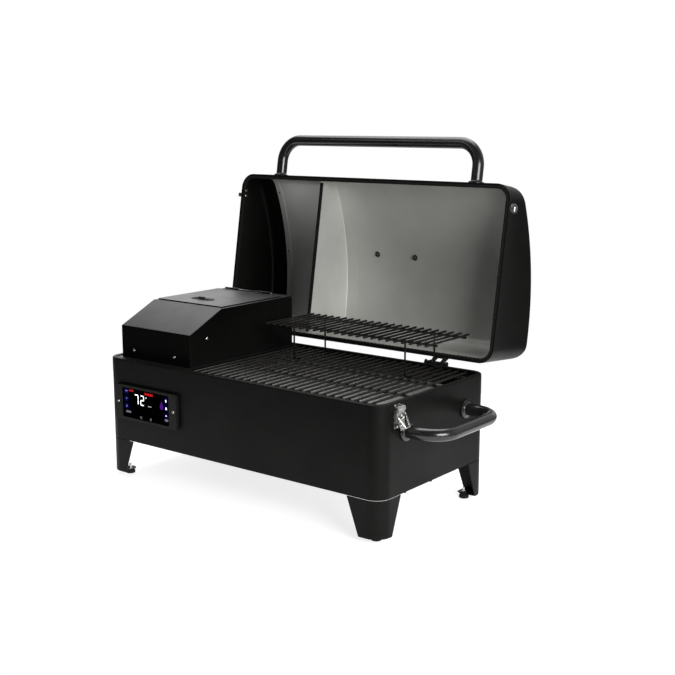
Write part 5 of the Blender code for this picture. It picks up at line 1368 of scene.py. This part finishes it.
def make_lid_hinges():
    """Pressed hinges: an eared plate on the tub, an eared plate on the lid, and open space round the pin."""
    back = HINGE_WALL + HINGE_SHEET
    bottom, top = 142 * MM, HINGE_Z - 8.5 * MM
    eye = arc((HINGE_Y, HINGE_Z), HINGE_BARREL, -60, 180, 16)
    base_ear = [(back - MM, 158 * MM), (back + 4 * MM, 162 * MM), *eye, (back - MM, top)]
    lid_low = LID_BASE + 1.8 * MM
    lid_ear = [*arc((HINGE_Y, HINGE_Z), HINGE_BARREL, 60, -180, 16), (back - MM, lid_low + 2 * MM),
               (back - MM, 214 * MM)]
    for name, sign in SIDES:
        x = sign * HINGE_X
        outline = rounded_rectangle(x - HINGE_HALF, bottom, x + HINGE_HALF, top, 5 * MM, 6)
        plate = prism("XZ", HINGE_WALL, back, outline, soft=0.4 * MM)
        ears = hinge_ears((x - HINGE_HALF, x - HINGE_CENTRE - HINGE_SHEET, x + HINGE_CENTRE,
                           x + HINGE_HALF - HINGE_SHEET), base_ear)
        sleeves = [sleeve(x - HINGE_HALF + MM, x - HINGE_CENTRE - MM),
                   sleeve(x + HINGE_CENTRE + MM, x + HINGE_HALF - MM)]
        heads = [screw_head((x + side * 16 * MM, back - 0.1 * MM, 153 * MM), (0, 1, 0), 3 * MM)
                 for side in (-1, 1)]
        piece(f"hinge_bracket_{name}", joined(plate, *ears, *sleeves), BLACK, "tub",
              replaces=[f"hinge_base_{name}"])
        piece(f"hinge_screws_{name}", joined(*heads), STEEL, "tub")
        low, high = x - HINGE_CENTRE + 0.3 * MM, x + HINGE_CENTRE - 0.3 * MM
        outline = rounded_rectangle(low, lid_low, high, LID_BASE + 35.8 * MM, 4 * MM, 6)
        plate = prism("XZ", HINGE_WALL - 0.2 * MM, back, outline, soft=0.4 * MM)
        ears = hinge_ears((low, high - HINGE_SHEET), lid_ear)
        piece(f"hinge_wing_{name}", joined(plate, *ears, sleeve(low + MM, high - MM)), BLACK, "lid",
              LID, [f"hinge_leaf_{name}"])


# ---------------------------------------------------------------- the CAD parts that stay

def paint_cad():
    """Procedural finishes for the CAD nodes that stay as they are."""
    finishes = {
        STEEL: ["hopper_hinge_pin", "hopper_guard", "auger_tube", "auger_screw", "burn_pot", "igniter_rod",
                "temp_probe", "grease_drawer"],
        LINER: ["hopper_bin", "drip_tray", "heat_diffuser", "grate_ledge"],
        BLACK: ["divider_wall", "air_box", "drawer_rails", "hinge_pin_left", "hinge_pin_right"],
        PLASTIC: ["fan_housing", "fan_impeller", "power_switch"],
        CASING: ["auger_motor"],
        BOARD: ["control_board"],
    }
    for finish, names in finishes.items():
        for name in names:
            mesh = frame["nodes"][name].data
            mesh.materials.clear()
            mesh.materials.append(finish)


# ---------------------------------------------------------------- studio

CAMERA_AT = (1.5672, -1.9320, 0.7938)
CAMERA_TURN = (79.172, 0, 37.964)
CAMERA_LENS = 60.67


def make_camera():
    data = bpy.data.cameras.new("camera")
    data.lens = CAMERA_LENS
    data.sensor_width = 36
    made = bpy.data.objects.new("camera", data)
    bpy.context.scene.collection.objects.link(made)
    made.location = CAMERA_AT
    made.rotation_euler = [math.radians(a) for a in CAMERA_TURN]
    bpy.context.scene.camera = made


def area_light(name, at, target, size, power):
    data = bpy.data.lights.new(name, "AREA")
    data.shape = "RECTANGLE"
    data.size, data.size_y = size
    data.energy = power
    made = bpy.data.objects.new(name, data)
    bpy.context.scene.collection.objects.link(made)
    made.location = at
    made.rotation_euler = (Vector(target) - Vector(at)).to_track_quat("-Z", "Y").to_euler()


FLOOR_GLOW = 0.78
ROOM_DIM = 0.02


def make_world():
    """A room that is bright behind the part and dim before it, seen by the camera as a white backdrop."""
    world = bpy.data.worlds.new("studio")
    world.use_nodes = True
    tree = world.node_tree
    tree.nodes.clear()
    way = tree.nodes.new("ShaderNodeSeparateXYZ")
    tree.links.new(tree.nodes.new("ShaderNodeTexCoord").outputs["Generated"], way.inputs["Vector"])
    path = tree.nodes.new("ShaderNodeLightPath")
    room, backdrop = tree.nodes.new("ShaderNodeBackground"), tree.nodes.new("ShaderNodeBackground")
    behind = between(tree, way.outputs["Y"], 0.0, 1.0, 0.0, 0.55)
    above = between(tree, way.outputs["Z"], 0.12, 1.0, -0.05, 0.08)
    leftward = between(tree, way.outputs["X"], 1.5, 0.5, -0.7, 0.3)
    strength = node(tree, "ShaderNodeMath")
    strength.operation = "MULTIPLY_ADD"
    both = node(tree, "ShaderNodeMath")
    both.operation = "MULTIPLY"
    tree.links.new(behind, both.inputs[0])
    tree.links.new(above, both.inputs[1])
    tree.links.new(both.outputs["Value"], strength.inputs[0])
    tree.links.new(leftward, strength.inputs[1])
    strength.inputs[2].default_value = ROOM_DIM
    tree.links.new(strength.outputs["Value"], room.inputs["Strength"])
    room.inputs["Color"].default_value = (1, 1, 1, 1)
    backdrop.inputs["Color"].default_value = (1, 1, 1, 1)
    mix, out = tree.nodes.new("ShaderNodeMixShader"), tree.nodes.new("ShaderNodeOutputWorld")
    tree.links.new(path.outputs["Is Camera Ray"], mix.inputs["Fac"])
    tree.links.new(room.outputs["Background"], mix.inputs[1])
    tree.links.new(backdrop.outputs["Background"], mix.inputs[2])
    tree.links.new(mix.outputs["Shader"], out.inputs["Surface"])
    bpy.context.scene.world = world


FLOOR_OUTLINE = rounded_rectangle(-1.2, -0.95, 1.1, 0.9, 0.45, 12)


def fill_floor(bm):
    bm.faces.new([bm.verts.new((x, y, 0)) for x, y in FLOOR_OUTLINE])


def make_studio():
    floor_material, tree, shader = new_material("floor_pale", (0.9, 0.9, 0.9), 0.8)
    shader.inputs["Specular IOR Level"].default_value = 0.1
    shader.inputs["Emission Color"].default_value = (1, 1, 1, 1)
    shader.inputs["Emission Strength"].default_value = FLOOR_GLOW
    tree.links.new(tinted(tree, noise(tree, 3, 2), (0.58, 0.58, 0.58), (0.6, 0.6, 0.6)),
                   shader.inputs["Base Color"])
    floor = loose(mesh_from(fill_floor))
    floor.name = "floor"
    floor.data.materials.append(floor_material)
    make_world()
    area_light("overhead", (-0.4, 0.5, 2.4), (0, 0, 0.2), (2.2, 1.8), 45)
    area_light("right_side", (2.3, -1.0, 0.95), (0.05, 0.25, 0.45), (1.3, 1.1), 66)
    area_light("left_front", (-1.6, -2.3, 2.2), (0, 0.3, 0.4), (1.0, 1.0), 6)
    bpy.context.scene.view_settings.view_transform = "Standard"


make_camera()
make_studio()
paint_cad()
make_tub()
make_legs()
make_side_handles()
make_lid_handle()
make_hopper()
make_hopper_flap()
make_flap_pull()
make_main_grate()
make_warming_rack()
make_lid_shell()
make_lid_liner()
make_partition()
make_liner_trim()
make_badge()
make_gasket()
make_controls()
make_display_marks()
make_power()
make_latches()
make_lid_hinges()
